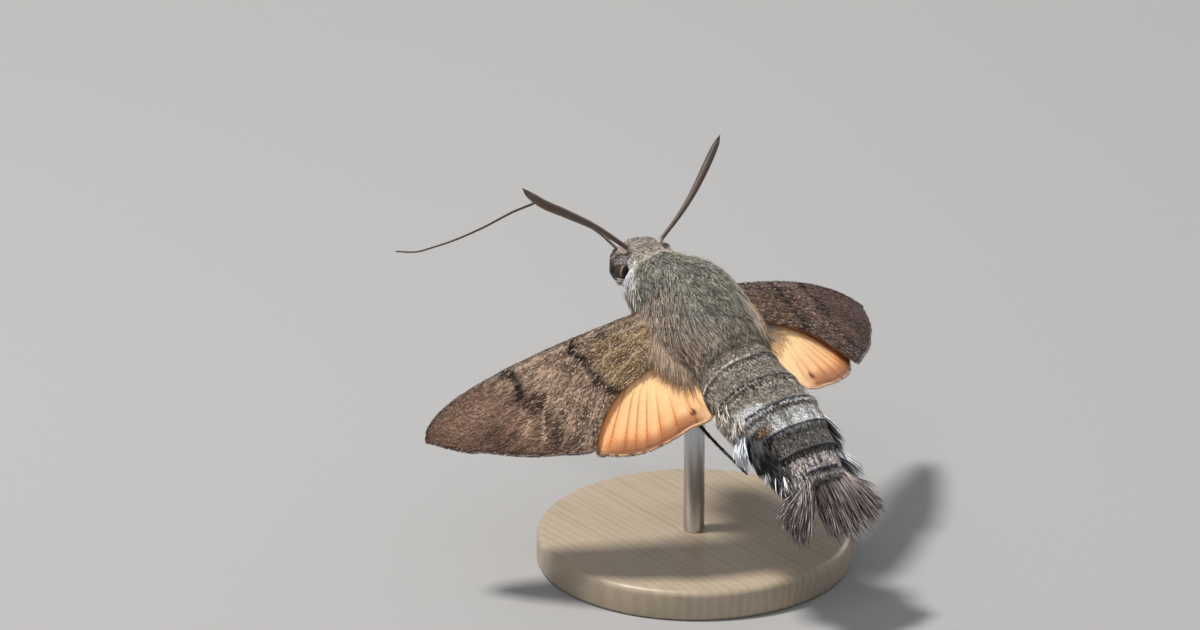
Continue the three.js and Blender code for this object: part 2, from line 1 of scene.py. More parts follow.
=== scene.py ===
import bpy
import math
import numpy as np
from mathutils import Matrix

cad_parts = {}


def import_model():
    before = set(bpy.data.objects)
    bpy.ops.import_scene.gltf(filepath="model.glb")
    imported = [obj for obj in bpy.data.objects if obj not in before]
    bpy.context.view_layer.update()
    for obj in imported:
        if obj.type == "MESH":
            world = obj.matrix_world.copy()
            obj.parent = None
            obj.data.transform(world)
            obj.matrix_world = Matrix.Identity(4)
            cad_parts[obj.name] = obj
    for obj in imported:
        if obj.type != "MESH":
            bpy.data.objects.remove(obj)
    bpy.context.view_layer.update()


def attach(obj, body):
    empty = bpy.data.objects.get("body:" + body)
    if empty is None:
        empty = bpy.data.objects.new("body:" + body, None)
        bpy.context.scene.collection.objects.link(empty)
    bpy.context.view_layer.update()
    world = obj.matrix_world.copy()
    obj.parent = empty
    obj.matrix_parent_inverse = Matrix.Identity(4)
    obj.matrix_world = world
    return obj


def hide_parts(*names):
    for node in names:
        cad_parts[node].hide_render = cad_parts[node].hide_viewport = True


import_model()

# ------------------------------------------------------------------ the frame of the moth
# Lengths below are millimetres in the body's own frame: x forward, y to the left, z to the back.
HOVER = 20.0
PITCH = math.radians(23.0)
AXES = np.array([[0.0, 1.0, 0.0],
                 [-math.cos(PITCH), 0.0, math.sin(PITCH)],
                 [math.sin(PITCH), 0.0, math.cos(PITCH)]])


def world(p):
    """Body millimetres to the frame's metres."""
    q = np.asarray(p, float) @ AXES.T
    q[..., 2] += HOVER
    return q * 0.001


def lin(r, g, b):
    """A display colour (0 to 255) as linear light."""
    c = np.array([r, g, b], float) / 255.0
    return np.where(c <= 0.04045, c / 12.92, ((c + 0.055) / 1.055) ** 2.4)


def smooth(a, b, x):
    t = np.clip((np.asarray(x, float) - a) / (b - a), 0, 1)
    return t * t * (3 - 2 * t)


def bell(x, c, w):
    return np.exp(-((np.asarray(x, float) - c) / w) ** 2)


def mix(a, b, t):
    t = np.asarray(t, float)[..., None]
    return a * (1 - t) + b * t


def stations(table, s):
    """Smooth value through named stations, the same curve as in the solids."""
    x = np.array([r[0] for r in table], float)
    y = np.array([r[1] for r in table], float)
    m = np.empty_like(y)
    m[1:-1] = (y[2:] - y[:-2]) / (x[2:] - x[:-2])
    m[0] = (y[1] - y[0]) / (x[1] - x[0])
    m[-1] = (y[-1] - y[-2]) / (x[-1] - x[-2])
    s = np.clip(np.asarray(s, float), x[0], x[-1])
    i = np.clip(np.searchsorted(x, s, side="right") - 1, 0, len(x) - 2)
    h = x[i + 1] - x[i]
    t = (s - x[i]) / h
    t2, t3 = t * t, t * t * t
    return ((2 * t3 - 3 * t2 + 1) * y[i] + (t3 - 2 * t2 + t) * h * m[i]
            + (3 * t2 - 2 * t3) * y[i + 1] + (t3 - t2) * h * m[i + 1])


def _hash(ix, iy, iz, seed):
    n = (ix.astype(np.int64) * 374761393 + iy.astype(np.int64) * 668265263
         + iz.astype(np.int64) * 2147483647 + seed * 1274126177) & 0x7FFFFFFF
    n = ((n ^ (n >> 13)) * 1274126177) & 0x7FFFFFFF
    return ((n ^ (n >> 16)) & 0xFFFFFF) / float(0xFFFFFF)


def noise(x, y, z=0.0, seed=1):
    """Smooth value noise from 0 to 1 with cells one unit across."""
    x, y, z = np.broadcast_arrays(np.asarray(x, float), np.asarray(y, float), np.asarray(z, float))
    ix, iy, iz = np.floor(x), np.floor(y), np.floor(z)
    fx, fy, fz = x - ix, y - iy, z - iz
    fx, fy, fz = (f * f * (3 - 2 * f) for f in (fx, fy, fz))
    out = 0
    for dx in (0, 1):
        for dy in (0, 1):
            for dz in (0, 1):
                w = (fx if dx else 1 - fx) * (fy if dy else 1 - fy) * (fz if dz else 1 - fz)
                out = out + w * _hash(ix + dx, iy + dy, iz + dz, seed)
    return out


def fractal(x, y, z=0.0, seed=1, octaves=3):
    total, amp, norm = 0, 1.0, 0
    for o in range(octaves):
        total = total + amp * noise(np.asarray(x) * 2 ** o, np.asarray(y) * 2 ** o, np.asarray(z) * 2 ** o, seed + 17 * o)
        norm += amp
        amp *= 0.5
    return total / norm


# ------------------------------------------------------------------ mesh helpers
def mesh_object(name, verts, faces, material, colours=None, uv=None, smooth_shade=True, in_world=False):
    """verts (n, 3) in body millimetres, faces a list of (m, 3) or (m, 4) index arrays."""
    co = np.asarray(verts, float) if in_world else world(verts)
    faces = [np.asarray(f, np.int32) for f in (faces if isinstance(faces, list) else [faces]) if len(f)]
    loops = np.concatenate([f.ravel() for f in faces])
    sizes = np.concatenate([np.full(len(f), f.shape[1], np.int32) for f in faces])
    starts = np.concatenate([[0], np.cumsum(sizes)[:-1]]).astype(np.int32)
    me = bpy.data.meshes.new(name)
    me.vertices.add(len(co))
    me.vertices.foreach_set("co", co.astype(np.float32).ravel())
    me.loops.add(len(loops))
    me.loops.foreach_set("vertex_index", loops.astype(np.int32))
    me.polygons.add(len(sizes))
    me.polygons.foreach_set("loop_start", starts)
    me.update(calc_edges=True)
    me.polygons.foreach_set("use_smooth", np.full(len(sizes), smooth_shade))
    if colours is not None:
        attr = me.color_attributes.new("Col", "FLOAT_COLOR", "POINT")
        rgba = np.ones((len(co), 4), np.float32)
        rgba[:, :3] = np.clip(colours, 0, 1)
        attr.data.foreach_set("color", rgba.ravel())
    if uv is not None:
        layer = me.uv_layers.new(name="OFBake")
        layer.data.foreach_set("uv", np.asarray(uv, np.float32)[loops].ravel())
    me.materials.append(material)
    me.validate()
    ob = bpy.data.objects.new(name, me)
    bpy.context.scene.collection.objects.link(ob)
    return ob


def grid_faces(n, m, close=False, flip=False, offset=0):
    """Quads of an n by m grid of points; close joins the last column to the first."""
    i = np.arange(n - 1)[:, None]
    j = np.arange(m if close else m - 1)[None, :]
    k = (j + 1) % m
    q = np.stack(np.broadcast_arrays(i * m + j, i * m + k, (i + 1) * m + k, (i + 1) * m + j), -1).reshape(-1, 4)
    return (q[:, ::-1] if flip else q) + offset


def tube(path, radius, sides=12, flat=1.0, up=(0, 0, 1)):
    """Rings round a path, with closed ends. Returns points, faces and each point's place along the path."""
    path = np.asarray(path, float)
    n = len(path)
    radius = np.broadcast_to(np.asarray(radius, float), (n,))
    tangent = np.gradient(path, axis=0)
    tangent /= np.linalg.norm(tangent, axis=1, keepdims=True)
    normal = np.array(up, float)
    ring = []
    ang = np.linspace(0, 2 * np.pi, sides, endpoint=False)
    for i in range(n):
        normal = normal - tangent[i] * (normal @ tangent[i])
        normal /= np.linalg.norm(normal)
        side = np.cross(tangent[i], normal)
        ring.append(path[i] + radius[i] * (np.cos(ang)[:, None] * normal + flat * np.sin(ang)[:, None] * side))
    pts = np.concatenate(ring)
    q = grid_faces(n, sides, close=True)
    a, b = len(pts), len(pts) + 1
    pts = np.vstack([pts, path[0] - tangent[0] * radius[0] * 0.4, path[-1] + tangent[-1] * radius[-1] * 0.6])
    j = np.arange(sides)
    k = (j + 1) % sides
    last = (n - 1) * sides
    caps = np.concatenate([np.stack([np.full(sides, a), k, j], 1), np.stack([np.full(sides, b), last + j, last + k], 1)])
    t = np.concatenate([np.repeat(np.linspace(0, 1, n), sides), [0, 1]])
    return pts, [q, caps], t


def curve(points, count):
    """A smooth curve through a few points, in equal steps."""
    p = np.asarray(points, float)
    d = np.concatenate([[0], np.cumsum(np.sqrt(np.linalg.norm(np.diff(p, axis=0), axis=1)))])
    q = np.linspace(0, d[-1], 40 * len(p))
    fine = np.stack([stations(list(zip(d, p[:, i])), q) for i in range(3)], 1)
    arc = np.concatenate([[0], np.cumsum(np.linalg.norm(np.diff(fine, axis=0), axis=1))])
    want = np.linspace(0, arc[-1], count)
    return np.stack([np.interp(want, arc, fine[:, i]) for i in range(3)], 1)


def blades(path, normal, width, profile, ridge=0.45):
    """Many thin tapering solids at once: path (n, K+1, 3), normal (n, K+1, 3), width (n,), profile (K,).
    Each has a low three-sided section and a pointed tip."""
    n, k1, _ = path.shape
    k = k1 - 1
    tangent = np.gradient(path, axis=1)
    side = np.cross(normal, tangent)
    side /= np.linalg.norm(side, axis=2, keepdims=True) + 1e-12
    w = (width[:, None] * np.asarray(profile)[None, :])[..., None] * 0.5
    c, s, up = path[:, :k], side[:, :k], normal[:, :k]
    rings = np.stack([c - s * w - up * w * ridge * 0.4, c + s * w - up * w * ridge * 0.4, c + up * w * ridge], 2)
    pts = np.concatenate([rings.reshape(n, k * 3, 3), path[:, k:]], 1)
    per = 3 * k + 1
    local = []
    for i in range(k - 1):
        for j in range(3):
            a, b = i * 3 + j, i * 3 + (j + 1) % 3
            local += [[a, b, b + 3], [a, b + 3, a + 3]]
    for j in range(3):
        local.append([(k - 1) * 3 + j, (k - 1) * 3 + (j + 1) % 3, 3 * k])
    local.append([2, 1, 0])
    faces = (np.array(local)[None] + (np.arange(n) * per)[:, None, None]).reshape(-1, 3)
    t = np.concatenate([np.repeat(np.arange(k) / k, 3), [1.0]])
    across = np.concatenate([np.tile([0.0, 1.0, 0.5], k), [0.5]])
    return pts.reshape(-1, 3), faces, t, across, per


def tuft_uv(u0, v0, t, across):
    """Each tuft's small patch, at its root's place on the unwrapped skin."""
    u = u0[:, None] + 0.003 * (across[None, :] - 0.5)
    v = v0[:, None] + 0.003 * (t[None, :] - 0.5)
    return np.stack([u, v], -1).reshape(-1, 2)


# ------------------------------------------------------------------ body shape
CURL = math.radians(1.49)
STRAIGHT = 4.0


def spine(s):
    s = np.asarray(s, float)
    a = CURL * np.maximum(s - STRAIGHT, 0)
    x = np.where(s <= STRAIGHT, -s, -STRAIGHT - np.sin(a) / CURL)
    z = np.where(s <= STRAIGHT, 0, -(1 - np.cos(a)) / CURL)
    zero = np.zeros_like(a)
    at = np.stack([x, 0.5 * np.exp(-((s - 7.6) / 3) ** 2), z], -1)
    back = np.stack([-np.cos(a), zero, -np.sin(a)], -1)
    up = np.stack([-np.sin(a), zero, np.cos(a)], -1)
    return at, back, up


# The skin's half-width and its height above and below the axis, inside the coat.
SKIN_W = [[-9.2, .02], [-9.12, .42], [-8.85, .98], [-8.4, 1.5], [-7.9, 1.78], [-7.3, 1.84], [-6.7, 1.72], [-6.2, 1.74], [-5.7, 2.0],
          [-5.05, 2.58], [-4, 3.1], [-2, 3.38], [0, 3.5], [2, 3.4], [4, 3.12], [6, 3.26], [8.6, 3.6], [11, 3.56], [12.5, 3.26],
          [14.6, 2.9], [16.4, 2.55], [17.2, 2.25], [17.6, 1.5], [17.75, .03]]
SKIN_A = [[-9.2, .02], [-9.12, .4], [-8.85, .85], [-8.4, 1.27], [-7.9, 1.54], [-7.3, 1.7], [-6.7, 1.74], [-6.2, 1.76], [-5.7, 1.92],
          [-5.05, 2.26], [-4, 2.66], [-2, 3.16], [0, 3.4], [2, 3.26], [4, 2.86], [6, 2.68], [8.6, 2.62], [11.5, 2.43],
          [14.6, 2.05], [16.4, 1.7], [17.2, 1.4], [17.6, .9], [17.75, .02]]
SKIN_B = [[-9.2, .02], [-9.12, .45], [-8.85, .95], [-8.4, 1.38], [-7.9, 1.62], [-7.3, 1.74], [-6.7, 1.9], [-6.2, 2.35], [-5.7, 2.72],
          [-5.05, 3.16], [-4, 3.48], [-2, 3.45], [0, 3.2], [2, 3.0], [4, 2.65], [6, 2.5], [8.6, 2.42], [11.5, 2.32],
          [14.6, 2.03], [16.4, 1.72], [17.2, 1.4], [17.6, .9], [17.75, .02]]
SKIN_Z = [[-9.2, -.9], [-8.6, -.72], [-7.9, -.6], [-7.3, -.55], [-6.5, -.42], [-5.6, -.2], [-4.5, 0], [0, 0]]
S_MIN, S_MAX = -9.2, 17.75
RING_EDGES = [5.3, 7.35, 9.45, 11.6, 13.5, 15.35, 17.3]
EYE_C = np.array([6.96, 1.92, -0.76])
EYE_R = np.array([0.95, 0.8, 1.1])


def ring_flare(s):
    f = 0
    for e in RING_EDGES:
        f = f + 0.12 * smooth(e - 1.6, e, s) * (1 - smooth(e, e + 0.07, s))
    return f


def body_raw(s, th, h):
    at, back, up = spine(s)
    c, r = np.cos(th), np.sin(th)
    y = np.sign(c) * np.abs(c) ** 0.92
    z = np.sign(r) * np.abs(r) ** 0.92
    w = stations(SKIN_W, s)
    tall = np.where(r > 0, stations(SKIN_A, s), stations(SKIN_B, s))
    fl = ring_flare(s) * smooth(4.2, 5.2, s)
    right = smooth(0.15, -0.55, c)
    w = w + fl + h - right * (0.4 * bell(s, -4.4, 1.4) + 0.75 * bell(s, 1.7, 2.1) + 0.55 * bell(s, 5.0, 2.3) + 0.42 * bell(s, 8.8, 2.6))
    w = w + 0.34 * bell(s, -5.6, 0.6) * smooth(0.0, 0.6, c) * smooth(0.6, -0.1, r)
    tall = tall + fl + h - (r > 0) * (0.3 + 0.4 * right) * bell(s, -4.5, 1.3)
    # Shoulders swell over the wing roots.
    sh = bell(s, 0.6, 3.0) * np.abs(c) ** 3 * bell(r, 0.25, 0.45)
    y_mm = w * y + np.sign(c) * 0.5 * sh
    z_mm = stations(SKIN_Z, s) + tall * z + 0.1 * sh + 0.35 * (r > 0) * r * y * bell(s, 8.4, 2.4)
    # The brow overhangs the eye and the face is drawn in between the eyes.
    head = smooth(-6.3, -7.0, s)
    z_mm = z_mm + head * 0.1 * bell(np.abs(y_mm), 1.15, 0.4) * (r > 0) * r
    return at + np.stack([np.zeros_like(y_mm), y_mm, np.zeros_like(y_mm)], -1) + up * z_mm[..., None]


def body(s, th, h=0.0):
    """Point and outward normal of the body at station s, angle th (0 left, 90 back), h above the skin."""
    s, th, h = np.broadcast_arrays(np.asarray(s, float), np.asarray(th, float), np.asarray(h, float))
    p = body_raw(s, th, h)
    e = 0.02
    ds = body_raw(np.minimum(s + e, S_MAX), th, h) - body_raw(np.maximum(s - e, S_MIN), th, h)
    dt = body_raw(s, th + e, h) - body_raw(s, th - e, h)
    n = np.cross(dt, ds)
    n /= np.linalg.norm(n, axis=-1, keepdims=True) + 1e-12
    # Outward: away from the axis.
    at, _, up = spine(s)
    axis = at + up * stations(SKIN_Z, s)[..., None]
    flip = np.sum(n * (p - axis), -1) < 0
    n[flip] *= -1
    return p, n


# ------------------------------------------------------------------ markings of skin and coat alike
C_SAGE = lin(146, 142, 130)
C_SAGE_LIGHT = lin(200, 198, 182)
C_OLIVE = lin(138, 130, 112)
C_BROWN = lin(146, 124, 108)
C_TAUPE = lin(140, 126, 114)
C_TAUPE_LIGHT = lin(168, 155, 141)
C_CREAM = lin(218, 208, 190)
C_BUFF = lin(188, 176, 158)
C_WHITE = lin(254, 254, 253)
C_PALE = lin(214, 206, 194)
C_BLACK = lin(18, 16, 18)
C_DARK = lin(56, 47, 42)
C_GREY = lin(98, 93, 90)
C_SILVER = lin(232, 212, 206)
C_FAN = lin(134, 118, 112)


def marking(s, th):
    """Colour of the body at station s and angle th."""
    s, th = np.broadcast_arrays(np.asarray(s, float), np.asarray(th, float))
    deg = np.degrees(np.arctan2(np.sin(th), np.cos(th)))
    off = np.abs(np.degrees(np.arctan2(np.sin(th - np.pi / 2), np.cos(th - np.pi / 2))))  # away from the midline of the back
    far = np.abs(deg) > 90
    nx, ny = s * 1.3, off / 14.0 + far * 40
    n1 = fractal(nx, ny, 0, 3)
    n2 = noise(s * 3.4, off / 5.0 + far * 70, 0, 9)
    lines = noise(s * 0.9, off / 2.2 + far * 90, 0, 15)  # fine streaks along the body
    one = s.shape + (3,)
    # head and thorax
    col = mix(np.broadcast_to(C_SAGE, one), C_OLIVE, 0.6 * smooth(0.4, 0.7, n1))
    col = mix(col, C_BROWN, np.clip(smooth(1.5, 4.4, s) * 0.7 + 0.6 * smooth(36, 62, off) * smooth(-3.2, 0.5, s), 0, 0.9))
    col = mix(col, C_BUFF, 0.8 * smooth(-5.3, -6.0, s))
    col = mix(col, C_CREAM, 0.7 * bell(s, -5.75, 0.3) * smooth(100, 40, off))
    col = mix(col, C_DARK, 0.35 * bell(off, 0, 9) * smooth(-6.4, -6.8, s))
    under = smooth(104, 124, off)
    col = mix(col, C_PALE, under * smooth(4.5, 2.5, s) * 0.85)
    # streaks of white and dark on the side of the neck and breast
    streak = smooth(58, 78, off) * smooth(132, 114, off) * smooth(-1.8, -3.4, s) * smooth(-6.9, -6.3, s)
    col = mix(col, np.where((_hash(np.floor(s * 1.1), np.floor(off / 6.0), far * 1.0, 77) > 0.58)[..., None], C_PALE, C_DARK), streak * 0.8)
    # abdomen: six rings, each with a dark rear edge
    ab = mix(np.broadcast_to(C_TAUPE, one), C_TAUPE_LIGHT, smooth(0.3, 0.6, n1) * (0.5 + 0.5 * smooth(7.2, 8.6, s)))
    ab = mix(ab, C_DARK, 0.5 * smooth(0.5, 0.8, lines))
    ab = mix(ab, C_PALE, 0.5 * smooth(0.55, 0.8, n2) * smooth(7.5, 8.5, s) * smooth(11.6, 11.4, s))
    top = smooth(112, 92, off)
    # A thin painted shadow just in front of the cream line at the first ring's edge.
    ab = mix(ab, C_DARK, 0.35 * bell(s, 7.28, 0.09) * top)
    ab = mix(ab, C_CREAM, 0.95 * bell(s, 7.46, 0.09) * (0.55 + 0.45 * (n2 > 0.45)) * top)
    ab = mix(ab, C_TAUPE_LIGHT, 0.4 * bell(s, 8.1, 0.5) * top)
    ab = mix(ab, C_BLACK, 0.95 * bell(s, 9.36, 0.12) * top)
    ab = mix(ab, C_CREAM, 0.95 * bell(s, 9.58, 0.12) * (n2 > 0.5) * top)
    # third ring: pale towards its rear edge, a white patch on each side of the back
    ab = mix(ab, C_TAUPE_LIGHT, 0.7 * smooth(9.9, 11.2, s) * smooth(11.7, 11.5, s))
    side_white = smooth(10.1, 10.6, s + 0.012 * (off - 60)) * smooth(11.62, 11.5, s) * smooth(28, 40, off) * smooth(100, 84, off)
    ab = mix(ab, C_WHITE, 0.97 * side_white * (0.7 + 0.3 * smooth(0.2, 0.5, n2)))
    ab = mix(ab, mix(np.broadcast_to(C_BUFF, one), C_DARK, 0.8 * (lines > 0.55)), 0.85 * smooth(78, 88, off) * smooth(9.5, 9.8, s) * smooth(11.6, 11.3, s) * smooth(120, 108, off))
    # fourth ring: black flanks with a brown spot, a streaky white band over the back
    after3, after4, after5 = smooth(11.66, 11.72, s), smooth(13.56, 13.62, s), smooth(15.42, 15.5, s)
    band = after3 * smooth(13.5, 13.3, s) * smooth(54, 36, off)
    ab = mix(ab, C_GREY, 0.8 * band)
    ab = mix(ab, C_WHITE, band * (0.3 + 0.7 * smooth(0.38, 0.5, lines)) * (0.7 + 0.3 * smooth(12.0, 12.7, s)))
    ab = mix(ab, C_BLACK, 0.95 * smooth(48, 58, off) * smooth(11.95, 12.3, s) * smooth(116, 104, off))
    ab = mix(ab, C_WHITE, 0.55 * smooth(46, 56, off) * after3 * smooth(12.15, 11.95, s) * smooth(100, 90, off))
    ab = mix(ab, lin(164, 118, 84), 0.95 * bell(s, 12.55, 0.36) * bell(off, 60, 8.5))
    # fifth ring: a dark grey plate; sixth: silvery scales
    ab = mix(ab, C_GREY * (0.75 + 0.5 * n2)[..., None], after4 * smooth(15.32, 15.2, s) * smooth(62, 50, off) * 0.95)
    silver = after5 * smooth(17.25, 17.1, s) * smooth(88, 70, off)
    ab = mix(ab, mix(np.broadcast_to(C_SILVER, one), lin(44, 38, 37), 0.85 * (lines > 0.62)), silver * 0.95)
    # White flecks over the silvery scales are painted glints.
    ab = mix(ab, C_WHITE, 0.9 * silver * (n2 > 0.58) * (lines < 0.56))
    for edge, wide, dark in ((11.52, 0.1, 0.9), (13.46, 0.13, 0.97), (15.3, 0.14, 0.97)):
        ab = mix(ab, C_BLACK, dark * np.clip(1.35 * bell(s + 0.1 * (n2 - 0.5), edge, wide), 0, 1) * smooth(120, 100, off))
    ab = mix(ab, C_CREAM, 0.85 * bell(s, 11.7, 0.07) * (lines > 0.4) * smooth(84, 72, off))
    ab = mix(ab, lin(26, 30, 58), 0.7 * bell(s, 11.52, 0.1) * bell(off, 48, 10))
    ab = mix(ab, lin(22, 24, 46), bell(s, 17.25, 0.16) * smooth(46, 30, off))
    ab = mix(ab, C_FAN, smooth(17.45, 17.6, s) * 0.9)
    low = smooth(114, 130, off)
    ab = mix(ab, mix(np.broadcast_to(lin(168, 156, 140), one), C_DARK, np.clip(0.65 * smooth(10.5, 12.5, s) + 0.3 * smooth(0.5, 0.8, n2), 0, 0.9)), low)
    return mix(col, ab, smooth(4.3, 5.3, s))


# ------------------------------------------------------------------ materials
def node_material(name, roughness, sheen=0.0, specular=0.5, metallic=0.0, coat=0.0):
    mat = bpy.data.materials.new(name)
    mat.use_nodes = True
    nt = mat.node_tree
    bsdf = next(n for n in nt.nodes if n.type == "BSDF_PRINCIPLED")
    bsdf.inputs["Roughness"].default_value = roughness
    bsdf.inputs["Metallic"].default_value = metallic
    bsdf.inputs["Specular IOR Level"].default_value = specular
    bsdf.inputs["Sheen Weight"].default_value = sheen
    bsdf.inputs["Coat Weight"].default_value = coat
    return mat, nt, bsdf


def add(nt, kind, **values):
    node = nt.nodes.new(kind)
    for k, v in values.items():
        setattr(node, k, v)
    return node


def attribute_colour(nt, bsdf, scale=6000.0, low=0.72, high=1.25, bump=0.3, bump_scale=9000.0, distance=3e-5, stretch=None):
    """The painted colour, broken up by fine grain, with fine relief."""
    coord = add(nt, "ShaderNodeTexCoord")
    attr = add(nt, "ShaderNodeAttribute", attribute_name="Col")
    tex = add(nt, "ShaderNodeTexNoise")
    tex.inputs["Scale"].default_value = scale
    tex.inputs["Detail"].default_value = 4.0
    tex.inputs["Roughness"].default_value = 0.62
    ramp = add(nt, "ShaderNodeMapRange")
    ramp.inputs["From Min"].default_value = 0.3
    ramp.inputs["From Max"].default_value = 0.7
    ramp.inputs["To Min"].default_value = low
    ramp.inputs["To Max"].default_value = high
    mul = add(nt, "ShaderNodeVectorMath", operation="MULTIPLY")
    vec = coord.outputs["Object"]
    if stretch:
        mapping = add(nt, "ShaderNodeMapping")
        mapping.inputs["Rotation"].default_value = stretch[0]
        mapping.inputs["Scale"].default_value = stretch[1]
        nt.links.new(vec, mapping.inputs["Vector"])
        vec = mapping.outputs["Vector"]
    nt.links.new(vec, tex.inputs["Vector"])
    nt.links.new(tex.outputs["Fac"], ramp.inputs["Value"])
    nt.links.new(attr.outputs["Color"], mul.inputs[0])
    nt.links.new(ramp.outputs["Result"], mul.inputs[1])
    nt.links.new(mul.outputs["Vector"], bsdf.inputs["Base Color"])
    if bump:
        b = add(nt, "ShaderNodeBump")
        b.inputs["Strength"].default_value = bump
        b.inputs["Distance"].default_value = distance
        t2 = add(nt, "ShaderNodeTexNoise")
        t2.inputs["Scale"].default_value = bump_scale
        t2.inputs["Detail"].default_value = 3.0
        nt.links.new(vec, t2.inputs["Vector"])
        nt.links.new(t2.outputs["Fac"], b.inputs["Height"])
        nt.links.new(b.outputs["Normal"], bsdf.inputs["Normal"])
    return tex


def hair_material(name, roughness=0.55, specular=0.35, sheen=0.15):
    mat, nt, bsdf = node_material(name, roughness, sheen=sheen, specular=specular)
    attribute_colour(nt, bsdf, scale=2500.0, low=0.86, high=1.14, bump=0)
    return mat


def skin_material():
    mat, nt, bsdf = node_material("moth_skin", 0.8, sheen=0.1, specular=0.3)
    attribute_colour(nt, bsdf, scale=7000.0, low=0.5, high=1.15, bump=0.5, bump_scale=9000.0, distance=6e-5)
    return mat


M_SKIN = skin_material()
M_FUR = hair_material("moth_fur", 0.6, 0.3, 0.2)
M_SCALES = hair_material("moth_scales", 0.42, 0.5, 0.12)
M_FLAKES = hair_material("wing_flakes", 0.6, 0.2, 0.0)
M_BRISTLE = hair_material("moth_bristles", 0.34, 0.55, 0.05)


def wing_material(name, roughness, grain):
    mat, nt, bsdf = node_material(name, roughness, sheen=0.0, specular=0.2)
    low, high, bump = grain
    attribute_colour(nt, bsdf, scale=5200.0, low=low, high=high, bump=bump, bump_scale=7500.0, distance=4e-5)
    return mat


M_FOREWING = wing_material("forewing_scales", 0.72, (0.82, 1.17, 0.35))
M_HINDWING = wing_material("hindwing_scales", 0.7, (0.93, 1.06, 0.15))

# ------------------------------------------------------------------ skin
NS, NT = 200, 90
grade = np.linspace(0, 1, NS)
ss = S_MIN + (S_MAX - S_MIN) * (0.5 - 0.5 * np.cos(np.pi * grade)) * 0.35 + (S_MAX - S_MIN) * grade * 0.65
ss[0], ss[-1] = S_MIN, S_MAX
tt = np.linspace(0, 2 * np.pi, NT, endpoint=False)
sg, tg = np.meshgrid(ss, tt, indexing="ij")
pts, nrm = body(sg, tg, 0.0)
relief = 0.03 * (fractal(sg * 3.5, np.cos(tg) * 9, np.sin(tg) * 9, 5) - 0.5) * smooth(-8.8, -8.2, sg) * smooth(17.4, 17, sg)
pts = pts + nrm * relief[..., None]
verts = pts.reshape(-1, 3)
col = marking(sg, tg).reshape(-1, 3) * 0.72
front, rear = len(verts), len(verts) + 1
verts = np.vstack([verts, verts[:NT].mean(0), verts[-NT:].mean(0)])
col = np.vstack([col, col[:1], col[-1:]])
j = np.arange(NT)
k = (j + 1) % NT
caps = np.concatenate([np.stack([np.full(NT, front), j, k], 1), np.stack([np.full(NT, rear), (NS - 1) * NT + k, (NS - 1) * NT + j], 1)])
skin = mesh_object("skin", verts, [grid_faces(NS, NT, close=True, flip=True), caps], M_SKIN, col)
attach(skin, "root")
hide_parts("head", "neck", "thorax", "abdomen_1", "abdomen_2", "abdomen_3", "abdomen_4")


# ------------------------------------------------------------------ fur on the body
def lay_fur(name, rng, count, s_range, th_range, length, width, height, material, slot, segments=3,
            profile=(0.75, 1.0, 0.6), spread=0.12, clump=0.0, cell=(0.5, 0.16), tint=0.12, root_shade=0.55, tip_highlight=1.12,
            colour=None, keep=None, flow=None, root_h=-0.05, strays=0.0, ridge=0.45, density=None, lock_shade=0.0):
    """Tufts that follow the body from root to tip. length, width and height may be functions of (s, th)."""
    def value(v, s, th):
        return v(s, th) if callable(v) else np.full_like(s, float(v))
    s = rng.uniform(*s_range, count)
    th = rng.uniform(*th_range, count)
    if density is not None:
        ok = rng.random(count) < density(s, th)
        s, th = s[ok], th[ok]
    root, _ = body(s, th, 0.0)
    if keep is not None:
        ok = keep(s, th, root)
        s, th, root = s[ok], th[ok], root[ok]
    n = len(s)
    L = value(length, s, th) * rng.uniform(0.72, 1.2, n)
    W = value(width, s, th) * rng.uniform(0.75, 1.3, n)
    H = value(height, s, th) * rng.uniform(0.45, 1.15, n)
    stray = rng.random(n) < strays
    H = np.where(stray, H * 1.5, H)
    phi = rng.normal(0, spread, n) + (flow(s, th) if flow else 0)
    radius = (stations(SKIN_W, s) + np.where(np.sin(th) > 0, stations(SKIN_A, s), stations(SKIN_B, s))) / 2
    cs, ct = cell
    ci, cj = np.floor(s / cs), np.floor(th / ct)
    cth = (cj + 0.5 + 0.5 * (_hash(ci, cj, ci * 0, 5) - 0.5)) * ct
    dphi = (_hash(ci, cj, ci * 0, 11) - 0.5)
    x = np.linspace(0, 1, segments + 1)
    sk = s[:, None] + L[:, None] * x[None] * np.cos(phi)[:, None]
    tk = th[:, None] + (L * np.sin(phi) / np.maximum(radius, 0.8))[:, None] * x[None]
    tk = tk + clump * ((cth - th)[:, None] + 0.35 * ct * dphi[:, None]) * (x[None] ** 1.3)
    hk = root_h + (H[:, None] - root_h) * np.sin(np.clip(x[None] * 1.15, 0, 1) * np.pi / 2) ** 0.9
    hk = hk + np.where(stray[:, None], 0.12 * x[None] ** 2, 0)
    sk = np.minimum(sk, S_MAX + 3)
    over = np.maximum(sk - 17.0, 0)
    p, nr = body(np.minimum(sk, 17.0), tk, hk)
    _, back, _ = spine(sk)
    p = p + back * over[..., None]
    pts, faces, t, across, per = blades(p, nr, W, profile, ridge)
    base = marking(s, th) if colour is None else colour(s, th, rng)
    shade = rng.normal(1.0, tint, n)
    shade = np.clip(shade * (1 + lock_shade * 2 * (_hash(ci, cj, ci * 0, 29) - 0.5)), 0.4, 1.7)
    # Painted shade at each tuft's root, in the gaps between hairs, rising to a painted highlight towards the tip.
    ramp = root_shade + (tip_highlight - root_shade) * smooth(0.0, 0.75, t)
    cols = (base * shade[:, None])[:, None, :] * ramp[None, :, None]
    u0 = 0.02 + 0.96 * (s - S_MIN) / (S_MAX - S_MIN)
    v0 = 0.02 + 0.96 * ((th / (2 * np.pi)) % 1.0)
    ob = mesh_object(name, pts, faces, material, cols.reshape(-1, 3), tuft_uv(u0, v0, t, across))
    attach(ob, "root")
    return ob


